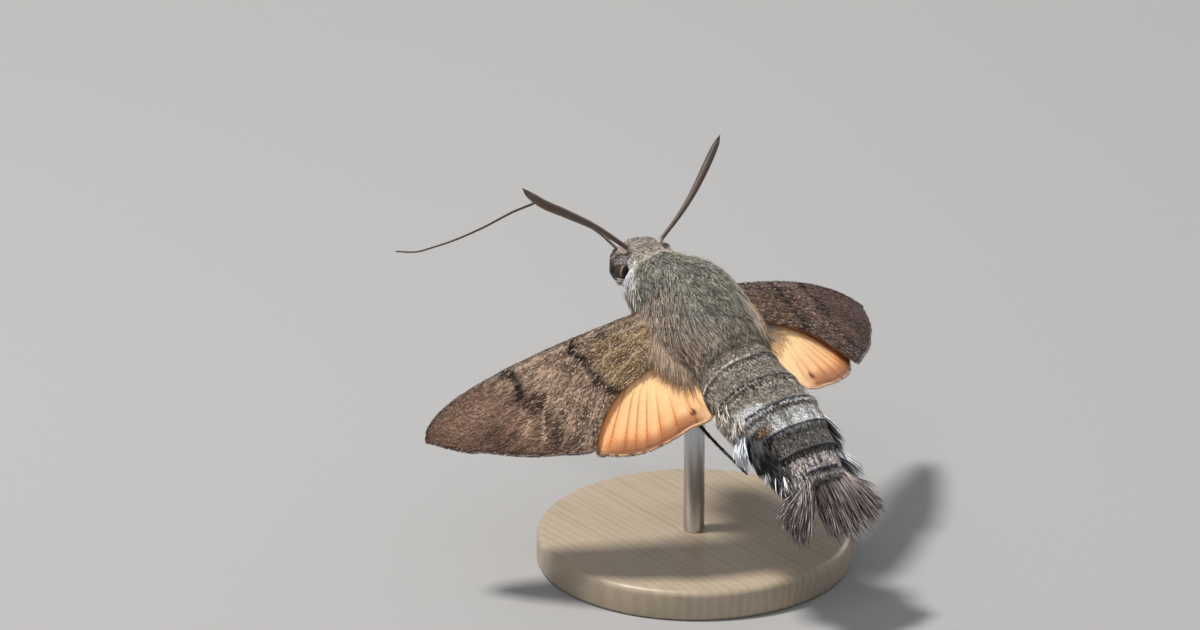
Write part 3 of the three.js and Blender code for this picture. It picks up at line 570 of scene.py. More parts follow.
# Axes of the direction in which the false pupil lies: across, upwards and outwards, for the left eye.
LOOK_ACROSS = np.array([-0.5514, -0.8007, 0.2341])
LOOK_UP = np.array([0.6384, -0.2244, 0.7363])
LOOK_OUT = np.array([-0.537, 0.5554, 0.6349])


def clear_of_eyes(s, th, root, margin=1.1):
    keep = np.ones(len(s), bool)
    for sign in (1, -1):
        for ahead, reach in ((0.0, margin), (0.3, 1.06), (0.55, 1.04)):
            q = (body(s + ahead, th, 0.12)[0] if ahead else root) * np.array([1, sign, 1]) - EYE_C
            keep &= np.linalg.norm(q / EYE_R, axis=1) > reach
            across_, above, out_ = q @ LOOK_ACROSS / 0.87, q @ LOOK_UP / 1.03, q @ LOOK_OUT
            keep &= (np.hypot(across_, above) > 1.02) | (out_ < -0.2)
    return keep


def rim_white(base, s, th):
    """Pale hair behind and below each eye."""
    q = body(s, th, 0.2)[0]
    q = q * np.array([1.0, 0, 1.0]) + np.abs(q) * np.array([0, 1.0, 0]) - EYE_C
    across_, above = q @ LOOK_ACROSS / 0.87, q @ LOOK_UP / 1.03
    d, turn = np.hypot(across_, above), np.degrees(np.arctan2(above, across_))
    w = smooth(1.52, 1.24, d) * smooth(-120, -95, turn) * smooth(55, 30, turn) * (_hash(np.floor(s * 40), np.floor(th * 60), s * 0 + 3.0, 5) > 0.16)
    strand = _hash(np.floor((turn + 14 * d) / 5.0), s * 0 + 2.0, s * 0 + 3.0, 6)
    near_rim = smooth(1.36, 1.16, d)
    base = mix(base, C_PALE, 0.55 * w * (strand > 0.3))
    base = mix(base, C_WHITE, w * np.clip(0.85 * near_rim + 0.6 * (strand > 0.62), 0, 0.9))
    return mix(base, C_DARK, 0.7 * w * (strand < 0.22) * (1 - near_rim))


def thorax_length(s, th):
    return stations([[-6, 0.8], [-5, 1.0], [-3, 1.25], [0, 1.45], [3, 1.6], [5, 1.5]], s)


def thorax_height(s, th):
    return stations([[-6.4, 0.2], [-5.6, 0.22], [-4.6, 0.2], [-3, 0.25], [2, 0.27], [4, 0.24], [6, 0.14]], s)


def thorax_colour(s, th, rng):
    base = marking(s, th)
    pick = rng.random(len(s))
    base = np.where((pick < 0.2)[:, None], mix(base, C_SAGE_LIGHT, np.full(len(s), 0.5)), base)
    base = np.where((pick > 0.78)[:, None], base * 0.32, base)
    return rim_white(base, s, th)


def flow_field(s, th):
    swirl = 1.5 * (fractal(s * 0.75, np.cos(th) * 4, np.sin(th) * 4, 21) - 0.5)
    return swirl - (0.12 + 0.34 * smooth(-0.5, -4.5, s)) * np.cos(th)


back_fur = dict(clump=0.6, cell=(0.7, 0.15), colour=thorax_colour, flow=flow_field, strays=0.05, tint=0.16,
                profile=(0.8, 1.0, 0.6), root_shade=0.48, tip_highlight=1.28, lock_shade=0.24, spread=0.16)
rng = np.random.default_rng(11)
lay_fur("coat_thorax_back", rng, 10300, (-6.0, 0.2), (math.radians(-2), math.radians(182)), thorax_length, 0.062, thorax_height,
        M_FUR, "thorax_fur", **back_fur)
rng = np.random.default_rng(111)
lay_fur("coat_thorax_rear", rng, 10300, (-0.2, 5.0), (math.radians(-2), math.radians(182)), thorax_length, 0.062, thorax_height,
        M_FUR, "thorax_fur", **back_fur)
rng = np.random.default_rng(12)
lay_fur("coat_thorax_breast", rng, 5000, (-6.0, 5.0), (math.radians(178), math.radians(362)), thorax_length, 0.1, thorax_height,
        M_FUR, "thorax_fur", **back_fur)


# Flat scales on the abdomen, in rows like tiles; the last row of each ring is longer.
def scale_length(s, th):
    near = np.zeros_like(s)
    for e in RING_EDGES:
        near = np.maximum(near, bell(s, e - 0.2, 0.22))
    return 0.5 + 0.1 * near + 0.14 * smooth(15.4, 16, s) + 0.3 * smooth(5.6, 4.6, s)


def abdomen_colour(s, th, rng):
    n = len(s)
    base = marking(s + rng.normal(0, 0.02, n), th + rng.normal(0, 0.015, n))
    pick = rng.random(n)
    pale = smooth(0.3, 0.6, base.mean(1))
    silver = smooth(15.45, 15.7, s) * smooth(17.2, 17.0, s)
    base = np.where((pick < 0.16)[:, None], mix(base, C_CREAM, 0.45 + 0.35 * silver), base)
    base = np.where((pick > 0.8 - 0.02 * silver)[:, None], base * (0.42 + 0.45 * pale * (1 - silver) - 0.2 * silver)[:, None], base)
    return base


flat = dict(clump=0.1, cell=(0.4, 0.1), colour=abdomen_colour, profile=(0.9, 1.0), spread=0.09, tint=0.12, ridge=0.22,
            root_shade=0.9, tip_highlight=1.12, root_h=-0.02, segments=2)
for number, (s_range, count) in enumerate((((4.4, 9.6), 12300), ((9.5, 13.7), 13000), ((13.5, 17.45), 10800))):
    rng = np.random.default_rng(130 + number)
    lay_fur("coat_abdomen_back_%d" % (number + 1), rng, count, s_range, (math.radians(-32), math.radians(212)), scale_length, 0.078,
            lambda s, th: 0.055 + 0.02 * smooth(14, 16, s), M_SCALES, "abdomen_fur", **flat)
rng = np.random.default_rng(14)
lay_fur("coat_abdomen_belly", rng, 6000, (4.4, 17.4), (math.radians(210), math.radians(330)), lambda s, th: scale_length(s, th) * 1.4, 0.16,
        lambda s, th: 0.08 + 0.03 * smooth(10, 16, s), M_SCALES, "abdomen_fur", **flat)


# Rows of even scales that finish each ring with a crisp edge.
def ring_rows():
    rng = np.random.default_rng(140)
    blue = lin(34, 40, 84)
    parts = []
    # edge, first and last angle, count, how far the tips pass the edge, jitter, height, width, colour, other colour, share of the other
    rows = [(7.35, -20, 96, 150, 0.12, 0.05, 0.1, 0.075, C_CREAM, C_TAUPE, 0.35), (7.35, 84, 205, 150, 0.02, 0.03, 0.085, 0.065, lin(92, 80, 70), C_DARK, 0.35),
            (9.45, -15, 75, 110, 0.2, 0.08, 0.1, 0.08, C_CREAM, C_TAUPE, 0.5),
            (9.45, -25, 205, 270, 0.0, 0.04, 0.095, 0.06, C_DARK, C_BLACK, 0.5),
            (11.6, -25, 205, 260, 0.22, 0.14, 0.09, 0.08, C_PALE, C_WHITE, 0.5), (11.6, 22, 150, 180, 0.0, 0.08, 0.1, 0.07, C_BLACK, blue, 0.35),
            (13.5, 20, 160, 210, 0.12, 0.06, 0.13, 0.08, C_BLACK, blue, 0.22), (15.35, 15, 165, 210, 0.14, 0.06, 0.13, 0.085, C_BLACK, lin(24, 26, 44), 0.25),
            (17.25, 62, 122, 90, -0.1, 0.1, 0.26, 0.08, lin(10, 10, 30), blue, 0.45), (17.25, 64, 122, 90, 0.1, 0.12, 0.3, 0.08, lin(12, 12, 32), C_SILVER, 0.3)]
    for edge, d0, d1, n, past, jitter, height, width, tone, other, share in rows:
        th = np.radians(np.linspace(d0, d1, n) + rng.normal(0, 0.4, n))
        tip = edge + past + np.abs(rng.normal(0, jitter, n)) - jitter
        L = rng.uniform(0.34, 0.46, n)
        x = np.linspace(0, 1, 3)[None]
        sk = tip[:, None] - L[:, None] * (1 - x)
        base_s = np.minimum(sk, edge - 0.02)
        hk = 0.03 + (height - 0.03) * x * rng.uniform(0.85, 1.15, n)[:, None]
        p_, nr_ = body(base_s, np.repeat(th[:, None], 3, 1), hk)
        _, bk_, _ = spine(base_s)
        p_ = p_ + bk_ * (sk - base_s)[..., None]
        pts_, faces_, tl, acr, _ = blades(p_, nr_, width * rng.uniform(0.85, 1.2, n), (0.95, 1.0), 0.2)
        base = np.where((rng.random(n) < share)[:, None], other, np.broadcast_to(tone, (n, 3)))
        own = marking(tip - L, th)
        c = mix(own[:, None, :] + 0 * tl[None, :, None], np.repeat(base[:, None], len(tl), 1), np.broadcast_to(smooth(0.15, 0.55, tl), (n, len(tl))))
        c = c * np.clip(rng.normal(1, 0.12, n), 0.6, 1.4)[:, None, None]
        gaps = noise(np.degrees(th) * 0.35, edge + past * 9, 0, 91) > (0.38 if past > 0.1 and edge < 12 else 0.16 if edge < 17 else 0.0)
        per = len(tl)
        keep_v = np.repeat(gaps, per)
        fpb = len(faces_) // n
        faces_ = faces_.reshape(n, fpb, -1)[gaps] - (np.arange(n)[gaps] * per)[:, None, None] + (np.arange(gaps.sum()) * per)[:, None, None]
        faces_ = faces_.reshape(-1, faces_.shape[-1])
        pts_, c, tip, L, th = pts_[keep_v], c[gaps], tip[gaps], L[gaps], th[gaps]
        parts.append((pts_, faces_, c.reshape(-1, 3), tuft_uv(0.02 + 0.96 * (tip - L - S_MIN) / (S_MAX - S_MIN), 0.02 + 0.96 * ((th / 6.2832) % 1), tl, acr)))
    return parts


# Short hair on the head, shortest round the eyes and on the face.
def head_length(s, th):
    return stations([[-9.1, 0.2], [-8.2, 0.28], [-7.2, 0.36], [-6.2, 0.55], [-5.4, 0.9]], s)


def head_colour(s, th, rng):
    base = marking(s, th)
    root, _ = body(s, th, 0)
    mirrored = root * np.array([1, 1, 1.0])
    mirrored[:, 1] = np.abs(mirrored[:, 1])
    u = (mirrored - EYE_C) / EYE_R
    d = np.linalg.norm(u, axis=1)
    front = smooth(0.1, 0.5, u[:, 0])
    rim = smooth(1.75, 1.35, d) * smooth(0.1, -0.4, u[:, 0]) * smooth(1.3, 0.8, u[:, 2])
    base = mix(base, C_WHITE, 0.9 * rim * (rng.random(len(s)) > 0.2))
    # Darker hair in front of each eye: dark scaling, with painted shade on the cheek.
    base = mix(base, C_DARK, 0.8 * smooth(1.45, 1.15, d) * front)
    crown = smooth(-6.7, -7.2, s) * smooth(0.2, 0.8, root[:, 2])
    base = mix(base, lin(176, 162, 158), 0.8 * crown)
    face = smooth(8.1, 8.6, root[:, 0]) * smooth(-0.1, -0.7, root[:, 2])
    base = mix(base, C_DARK, 0.85 * face)
    # pale pinkish scales between the eye and the antenna
    patch = smooth(0.75, 0.35, np.linalg.norm((mirrored - [8.05, 1.5, 0.15]) * [0.8, 1, 1], axis=1))
    base = mix(base, lin(216, 190, 182), 0.85 * patch)
    pick = rng.random(len(s))
    base = np.where((pick < 0.22)[:, None], mix(base, C_CREAM, np.full(len(s), 0.45)), base)
    base = np.where((pick > 0.86)[:, None], base * 0.45, base)
    return rim_white(base, s, th)


rng = np.random.default_rng(15)
lay_fur("coat_head", rng, 10500, (-9.1, -5.5), (0, 2 * np.pi), head_length, 0.066,
        lambda s, th: stations([[-9.1, 0.05], [-7.6, 0.07], [-6.8, 0.1], [-6.2, 0.18], [-5.4, 0.26]], s),
        M_FUR, "head_fur", clump=0.35, cell=(0.4, 0.18), colour=head_colour, keep=clear_of_eyes, tint=0.12, spread=0.14,
        profile=(0.85, 1.0, 0.75), root_h=-0.03, strays=0.02, root_shade=0.7, tip_highlight=1.12, lock_shade=0.2, ridge=0.3)


def eye_lids():
    """Scales of the crown and cheek that lie over the top and rear of each eye."""
    parts = []
    for sign in (1, -1):
        rng = np.random.default_rng(161)
        n = 5600
        u = rng.normal(0, 1, (n, 3))
        u /= np.linalg.norm(u, axis=1, keepdims=True)
        place = u * EYE_R
        across_, above = place @ LOOK_ACROSS / 0.87, place @ LOOK_UP / 1.03
        over = above - 0.18 * across_
        rear = across_ + 0.22 * above
        shown = u @ LOOK_OUT > -0.45
        keep = shown & ((over > 0.4) | (rear > 0.62) | ((across_ < -0.8) & (above > -0.25)))
        if sign < 0:
            keep |= (u[:, 2] > 0.3) & (u[:, 0] < 0.5)
        u, over, rear, across_, above = u[keep], over[keep], rear[keep], across_[keep], above[keep]
        n = len(u)
        goal = np.array([-0.85, 0.1, -0.75]) + rng.normal(0, 0.16, (n, 3))
        goal -= u * np.sum(goal * u, 1)[:, None]
        goal /= np.linalg.norm(goal, axis=1, keepdims=True)
        # the edge scales stop at the rim of the eye's opening
        L = rng.uniform(0.16, 0.3, n) * np.where(over > 0.5, 1.0, 0.8)
        x = np.linspace(0, 1, 4)
        ang = (L[:, None] * x[None])
        dirn = u[:, None] * np.cos(ang)[..., None] + goal[:, None] * np.sin(ang)[..., None]
        thick = 0.05 + 0.16 * smooth(0.5, 0.9, np.maximum(over, rear))
        lift = 1.0 + thick[:, None] * (0.5 + 0.5 * x)[None, :] * rng.uniform(0.6, 1.2, n)[:, None]
        path = dirn * lift[..., None] * EYE_R + EYE_C
        nr = dirn / EYE_R
        nr /= np.linalg.norm(nr, axis=2, keepdims=True)
        m = np.array([1, sign, 1])
        pts_, faces_, tl, acr, _ = blades(path * m, nr * m, 0.07 * rng.uniform(0.75, 1.3, n), (0.85, 1.0, 0.75), 0.3)
        lilac = lin(206, 194, 190)
        tone = mix(np.broadcast_to(lilac, (n, 3)), C_BROWN, rng.uniform(0, 0.45, n))
        tone = mix(tone, C_WHITE, 0.92 * smooth(0.6, 0.68, rear) * smooth(0.62, 0.45, over))
        tone = mix(tone, lin(84, 70, 62), 0.85 * smooth(0.52, 0.42, over) * smooth(0.4, 0.2, rear))
        # Lid scales on the front side of each eye are darkened: dark scaling, with painted shade.
        tone = mix(tone, lin(60, 50, 46), 0.85 * smooth(-0.45, -0.75, across_) * smooth(0.9, 0.6, rear))
        if sign < 0:
            tone = mix(tone, C_BUFF, 0.7 * smooth(0.2, 0.5, u[:, 2]))
        tone = np.where((rng.random(n) < 0.14)[:, None], tone * 0.45, tone)
        c = (tone * np.clip(rng.normal(1, 0.12, n), 0.5, 1.5)[:, None])[:, None, :] * (0.75 + 0.35 * tl)[None, :, None]
        uv = tuft_uv(0.1 + 0.35 * (u[:, 0] + 1) / 2 + (0.5 if sign < 0 else 0), 0.03 + 0.94 * (u[:, 2] + 1) / 2, tl, acr)
        parts.append((pts_, faces_, c.reshape(-1, 3), uv))
        # a pale crescent of short hair round the rear and lower rim
        n = 520
        turn = np.radians(rng.uniform(-92, 48, n))
        out_by = rng.uniform(0.8, 1.22, n) - 0.1 * smooth(-0.9, -1.8, turn)
        rise = 0.9 * smooth(0.85, 1.1, out_by) * smooth(-75, -35, np.degrees(turn))
        base_c = EYE_C + LOOK_OUT * rise[:, None] + LOOK_ACROSS * (0.87 * out_by * np.cos(turn))[:, None] + LOOK_UP * (1.03 * out_by * np.sin(turn))[:, None] \
            + LOOK_OUT * (0.5 - 0.55 * (out_by - 0.8) + rng.uniform(-0.06, 0.08, n))[:, None]
        run = LOOK_ACROSS * np.sin(turn)[:, None] - LOOK_UP * np.cos(turn)[:, None] + LOOK_ACROSS * rng.normal(0.12, 0.16, n)[:, None]
        run /= np.linalg.norm(run, axis=1, keepdims=True)
        L = rng.uniform(0.28, 0.55, n)
        x = np.linspace(0, 1, 4)
        path = base_c[:, None] + run[:, None] * (L[:, None] * x[None])[..., None] - LOOK_OUT * (0.12 * x ** 2)[None, :, None] \
            + (LOOK_ACROSS * np.cos(turn)[:, None] + LOOK_UP * np.sin(turn)[:, None])[:, None] * (-0.1 * x ** 2)[None, :, None]
        nr = np.broadcast_to(LOOK_OUT, path.shape)
        pts_, faces_, tl, acr, _ = blades(path * m, nr * m, 0.06 * rng.uniform(0.75, 1.3, n), (0.85, 1.0, 0.75), 0.3)
        tone = mix(np.broadcast_to(lin(196, 184, 174), (n, 3)), C_WHITE, rng.uniform(0, 1, n) * smooth(1.25, 0.95, out_by))
        tone = np.where((rng.random(n) < 0.14 + 0.3 * smooth(1.02, 1.2, out_by))[:, None], tone * 0.35, tone)
        c = tone[:, None, :] * (0.72 + 0.35 * tl)[None, :, None]
        uv = tuft_uv(0.03 + 0.04 * out_by + (0.5 if sign < 0 else 0), 0.5 + 0.15 * turn, tl, acr)
        parts.append((pts_, faces_, c.reshape(-1, 3), uv))
    join_parts("coat_eye_lids", parts, M_FUR)


# ------------------------------------------------------------------ wings
SWEEP = {"left": 7.4, "right": 7.0}
DROOP = {"left": 31.3, "right": 27.0}
TWIST = {"left": 6.0, "right": -0.3}
ARCH = {"left": 0.4, "right": 0.2}
WING_ROOT = (1.6, 2.9, 1.3)
HIND_DROP = 0.46
HIND_TURN = {"left": 0.0, "right": 12.0}
HIND_SCALE = {"left": 1.0, "right": 1.07}
FORE_LENGTH = 20.4
COSTA = [[0, 0.6], [2.5, 0.25], [5, -0.12], [8.3, -0.58], [11, -0.9], [13.5, -1.12], [16, -1.2], [17.6, -1.1], [18.9, -0.8], [19.8, -0.34], [20.2, 0.08], [20.4, 0.46]]
REAR = [[0, 4.1], [2, 4.75], [3.9, 5.05], [5.7, 5.35], [7.25, 6.0], [8.6, 6.95], [9.6, 7.9], [10.3, 8.35], [11.2, 8.0], [12.2, 7.4],
        [13.85, 6.45], [15.54, 5.25], [16.9, 4.05], [18.2, 3.08], [19.3, 1.9], [20.05, 0.95], [20.4, 0.56]]
HIND_ROOT = (0.3, 3.5)
REACH = [[8, 5.2], [18, 8.0], [24, 10.1], [28, 10.9], [33, 10.45], [38, 10.1], [46, 9.4], [56, 8.35], [68, 7.35], [78, 7.1], [83, 6.8], [90, 5.2], [97, 3.7]]


def wing_axes(side):
    sign = 1 if side == "left" else -1
    sw, dr, tw = (math.radians(d[side]) for d in (SWEEP, DROOP, TWIST))
    out = np.array([math.sin(sw) * math.cos(dr), math.cos(sw) * math.cos(dr) * sign, -math.sin(dr)])
    rear = np.array([-1.0, 0, 0]) + out * out[0]
    rear /= np.linalg.norm(rear)
    up = np.cross(out, rear)
    up *= np.sign(up[2])
    back = rear * math.cos(tw) - up * math.sin(tw)
    back /= np.linalg.norm(back)
    up = np.cross(out, back)
    up *= np.sign(up[2])
    return np.array([WING_ROOT[0], sign * WING_ROOT[1], WING_ROOT[2]]), out, back, up


def camber(side, a, b):
    return ARCH[side] * np.sin(np.pi * np.clip(a, 0, 20) / 20) - 0.007 * (b - 1) ** 2 - 0.0008 * a * a


# Veins of the forewing, each a curve from the root region to the margin.
FORE_VEINS = [
    [(0.3, 1.0), (4, 0.45), (9, -0.15), (13, -0.62), (16.5, -0.85)],
    [(0.3, 1.5), (5, 1.1), (9.3, 0.75), (12, 0.2), (15, -0.3), (18.4, -0.4)],
    [(9.3, 0.75), (12.5, 0.55), (16, 0.35), (19.6, 0.55)],
    [(9.5, 1.0), (12.5, 1.1), (16, 1.2), (19.8, 1.7)],
    [(9.6, 1.4), (12.5, 1.9), (16, 2.4), (19.0, 2.8)],
    [(9.5, 1.9), (12.5, 2.8), (15.5, 3.7), (18.2, 3.6)],
    [(9.2, 2.3), (11.5, 3.5), (14, 4.7), (16.6, 4.9)],
    [(0.3, 2.0), (5, 2.3), (8.6, 2.7), (10.8, 4.2), (13, 5.8), (14.9, 6.2)],
    [(5, 2.3), (8.0, 3.3), (10.0, 5.0), (12.6, 7.4)],
    [(0.3, 2.6), (4, 3.5), (7, 4.7), (9.3, 6.4), (10.8, 8.1)],
]


def polyline(points, count=60):
    p = np.array(points, float)
    d = np.concatenate([[0], np.cumsum(np.linalg.norm(np.diff(p, axis=0), axis=1))])
    q = np.linspace(0, d[-1], count)
    return np.stack([stations(list(zip(d, p[:, i])), q) for i in range(2)], 1)


def line_distance(a, b, line):
    """Shortest distance from points (a, b) to a polyline, in millimetres."""
    best = np.full(a.shape, 1e9)
    for (x0, y0), (x1, y1) in zip(line[:-1], line[1:]):
        dx, dy = x1 - x0, y1 - y0
        t = np.clip(((a - x0) * dx + (b - y0) * dy) / (dx * dx + dy * dy + 1e-12), 0, 1)
        best = np.minimum(best, np.hypot(a - x0 - t * dx, b - y0 - t * dy))
    return best


FORE_LINES = {
    "antemedial": polyline([(7.0, -0.35), (7.62, 0.65), (7.16, 1.72), (7.14, 2.92), (7.16, 3.88), (6.77, 4.72), (6.26, 5.43)], 44),
    "inner": polyline([(5.1, -0.1), (4.8, 1.0), (5.2, 2.2), (4.8, 3.4), (4.5, 5.1)], 30),
    "postmedial": polyline([(13.1, -1.0), (12.45, -0.5), (12.3, 0.2), (12.5, 0.9), (12.76, 1.72)], 30),
    "smudge": polyline([(12.76, 1.72), (12.1, 2.9), (12.05, 4.3), (11.9, 5.4), (12.1, 6.6)], 30),
    "median": polyline([(9.3, 2.6), (9.7, 4.0), (9.1, 5.3), (9.5, 6.6), (9.2, 7.6)], 30),
}
PALE_VEIN = polyline([(9.6, 2.0), (10.5, 2.5), (11.3, 3.2), (11.9, 3.9), (12.5, 4.9), (12.9, 5.9)], 30)
FORE_VEIN_LINES = [polyline(v, 26) for v in FORE_VEINS]
FORE_OUTLINE_REAR = polyline([(10.3, 8.35), (12.2, 7.4), (13.85, 6.45), (15.54, 5.25), (16.9, 4.05), (18.2, 3.08), (19.3, 1.9), (20.05, 0.95), (20.4, 0.56)], 40)


def forewing_colours(a, b, under):
    f = (b - stations(COSTA, a)) / np.maximum(stations(REAR, a) - stations(COSTA, a), 0.3)
    edge = b - stations(COSTA, a)
    one = a.shape + (3,)
    n1 = fractal(a * 0.6, b * 0.8, 0, 31)
    n2 = fractal(a * 2.4, b * 3.2, 0, 33)
    n3 = noise(a * 8, b * 13, 0, 35)
    n4 = noise(a * 1.1 + b * 0.9, b * 2.6 - a * 1.6, 0, 37)
    rear_edge = line_distance(a, b, FORE_OUTLINE_REAR)
    col = np.broadcast_to(lin(140, 115, 98), one)
    # pale beige streaks through the middle of the wing
    col = mix(col, lin(180, 152, 132), 0.65 * smooth(0.5, 0.75, n2) * smooth(18, 12, a))
    col = mix(col, lin(172, 144, 122), 0.6 * bell(a, 10.0, 2.0) * smooth(0.35, 0.65, n1))
    col = mix(col, lin(94, 74, 62), 0.55 * smooth(0.52, 0.75, n4) * smooth(7.4, 9, a))
    # olive gold near the base
    gold = smooth(7.2, 5.6, a) * smooth(0.1, 0.35, f)
    col = mix(col, lin(122, 98, 74), 0.7 * smooth(7.3, 6.3, a))
    col = mix(col, lin(180, 150, 112), gold * (0.25 + 0.6 * smooth(0.42, 0.7, n2)))
    # grey scaling along the front of the base
    col = mix(col, lin(150, 134, 122), 0.6 * smooth(0.34, 0.16, f) * smooth(8, 5, a) * smooth(0.35, 0.6, n1))
    # mauve brown outer third
    outer = smooth(12.3, 14.6, a + 0.35 * (b - 2))
    col = mix(col, lin(130, 99, 82), 0.75 * outer)
    col = mix(col, lin(162, 130, 114), 0.6 * outer * bell(a, 16.0, 1.3) * bell(b, 0.9, 1.0))
    col = mix(col, lin(172, 140, 118), 0.6 * outer * smooth(0.5, 0.7, n4) * bell(a, 14.0, 1.2) * bell(b, 3.6, 1.8))
    col = mix(col, lin(82, 60, 50), 0.75 * bell(np.hypot((a - 16.0) * 0.8, (b - 3.1)), 0, 0.75))
    col = mix(col, lin(80, 60, 50), 0.6 * smooth(1.5, 0.2, rear_edge) * smooth(12, 15, a))
    col = mix(col, lin(84, 70, 62), 0.6 * smooth(1.0, 0.35, edge) * outer * smooth(0.4, 0.6, n3))
    # brown zone beyond the dark bar
    smudge = line_distance(a, b, FORE_LINES["smudge"])
    col = mix(col, lin(84, 62, 50), 0.75 * smooth(1.25, 0.2, smudge + 0.5 * (n1 - 0.5)))
    col = mix(col, lin(92, 72, 60), 0.4 * smooth(0.5, 0.1, line_distance(a, b, FORE_LINES["median"]) + 0.5 * (n2 - 0.5)))
    # brown triangle behind the postmedial line, pale streaks and a dark area towards the margin
    col = mix(col, lin(78, 55, 44), 0.85 * smooth(1.15, 0.5, np.hypot((a - 11.75) / 1.15, (b - 2.7) / 0.95) + 0.5 * (n1 - 0.5)))
    col = mix(col, lin(76, 56, 46), 0.7 * smooth(1.1, 0.4, np.hypot((a - 12.0) / 0.8, (b - 5.9) / 0.9) + 0.5 * (n2 - 0.5)))
    col = mix(col, lin(188, 158, 130), 0.6 * smooth(1.1, 0.4, np.hypot((a - 13.4) / 1.2, (b - 4.0) / 1.0)) * smooth(0.4, 0.6, n4))
    col = mix(col, lin(170, 140, 118), 0.5 * smooth(1.1, 0.5, np.hypot((a - 9.3) / 1.3, (b - 4.0) / 1.6)) * smooth(0.35, 0.6, n2))
    col = mix(col, lin(92, 68, 56), 0.65 * smooth(1.15, 0.4, np.hypot((a - 15.3) / 1.5, (b - 4.2) / 0.8) + 0.4 * (n1 - 0.5)))
    pale_vein = line_distance(a, b, PALE_VEIN)
    col = mix(col, lin(196, 166, 142), 0.75 * smooth(0.16, 0.05, pale_vein))
    # pale streak and dark edge along the costa
    col = mix(col, lin(168, 152, 138), 0.6 * bell(edge, 0.42, 0.16) * smooth(3, 6, a) * smooth(15.5, 12, a) * smooth(0.3, 0.55, n3))
    col = mix(col, lin(50, 40, 36), 0.85 * smooth(0.26, 0.08, edge))
    dark = lin(34, 25, 23)
    wob = 0.18 * (n2 - 0.5)
    ante = line_distance(a, b, FORE_LINES["antemedial"]) + wob
    col = mix(col, lin(72, 53, 44), 0.8 * smooth(0.55, 0.2, ante))
    col = mix(col, dark, 0.9 * smooth(0.27, 0.1, ante) * (0.55 + 0.45 * smooth(2.2, 0.8, b)))
    col = mix(col, dark, 0.9 * smooth(0.5, 0.3, np.hypot(a - 7.45, (b - 0.55) * 1.3)))
    col = mix(col, lin(66, 54, 46), 0.6 * smooth(0.34, 0.1, line_distance(a, b, FORE_LINES["inner"]) + wob) * smooth(1.8, 0.6, b))
    post = line_distance(a, b, FORE_LINES["postmedial"]) + wob
    col = mix(col, dark, 0.95 * smooth(0.42, 0.18, post))
    col = mix(col, dark, 0.8 * smooth(0.5, 0.3, np.hypot((a - 12.6) * 0.8, b + 0.55)))
    col = mix(col, lin(28, 21, 20), 0.95 * smooth(0.24, 0.13, np.hypot(a - 9.63, (b - 0.67) * 1.2)))
    vein = np.full(a.shape, 9.0)
    for v in FORE_VEIN_LINES:
        vein = np.minimum(vein, line_distance(a, b, v))
    col = mix(col, lin(172, 150, 130), 0.4 * smooth(0.12, 0.02, vein) * smooth(0.3, 0.6, n3) * smooth(15.5, 9, a))
    col = mix(col, lin(78, 58, 48), 0.35 * smooth(0.15, 0.03, vein) * smooth(13, 16, a))
    if under:
        low = mix(np.broadcast_to(lin(176, 112, 66), one), lin(120, 92, 76), smooth(11, 16, a))
        low = mix(low, lin(204, 168, 118), 0.5 * smooth(4, 0, a))
        low = mix(low, lin(96, 70, 54), 0.45 * smooth(0.14, 0.03, vein))
        low = mix(low, lin(96, 76, 62), 0.6 * smooth(1.2, 0.2, rear_edge))
        col = low
    col = col * (0.8 + 0.4 * n3)[..., None]
    return col, vein


HIND_VEIN_ENDS = [(9.9, 7.9), (9.04, 8.58), (8.12, 9.25), (7.45, 9.75), (6.66, 10.15), (5.4, 10.2), (4.0, 10.4), (2.45, 10.4)]
HIND_VEIN_LINES = [polyline([(2.3, 2.83), (2.3 + (x - 2.3) * 0.5 + 0.12 * (5 - k), 2.83 + (y - 2.83) * 0.5), (x, y)], 12) for k, (x, y) in enumerate(HIND_VEIN_ENDS)]
HIND_VEIN_LINES.append(polyline([(0.6, 4.2), (1.6, 6.6), (1.5, 9.4)], 12))


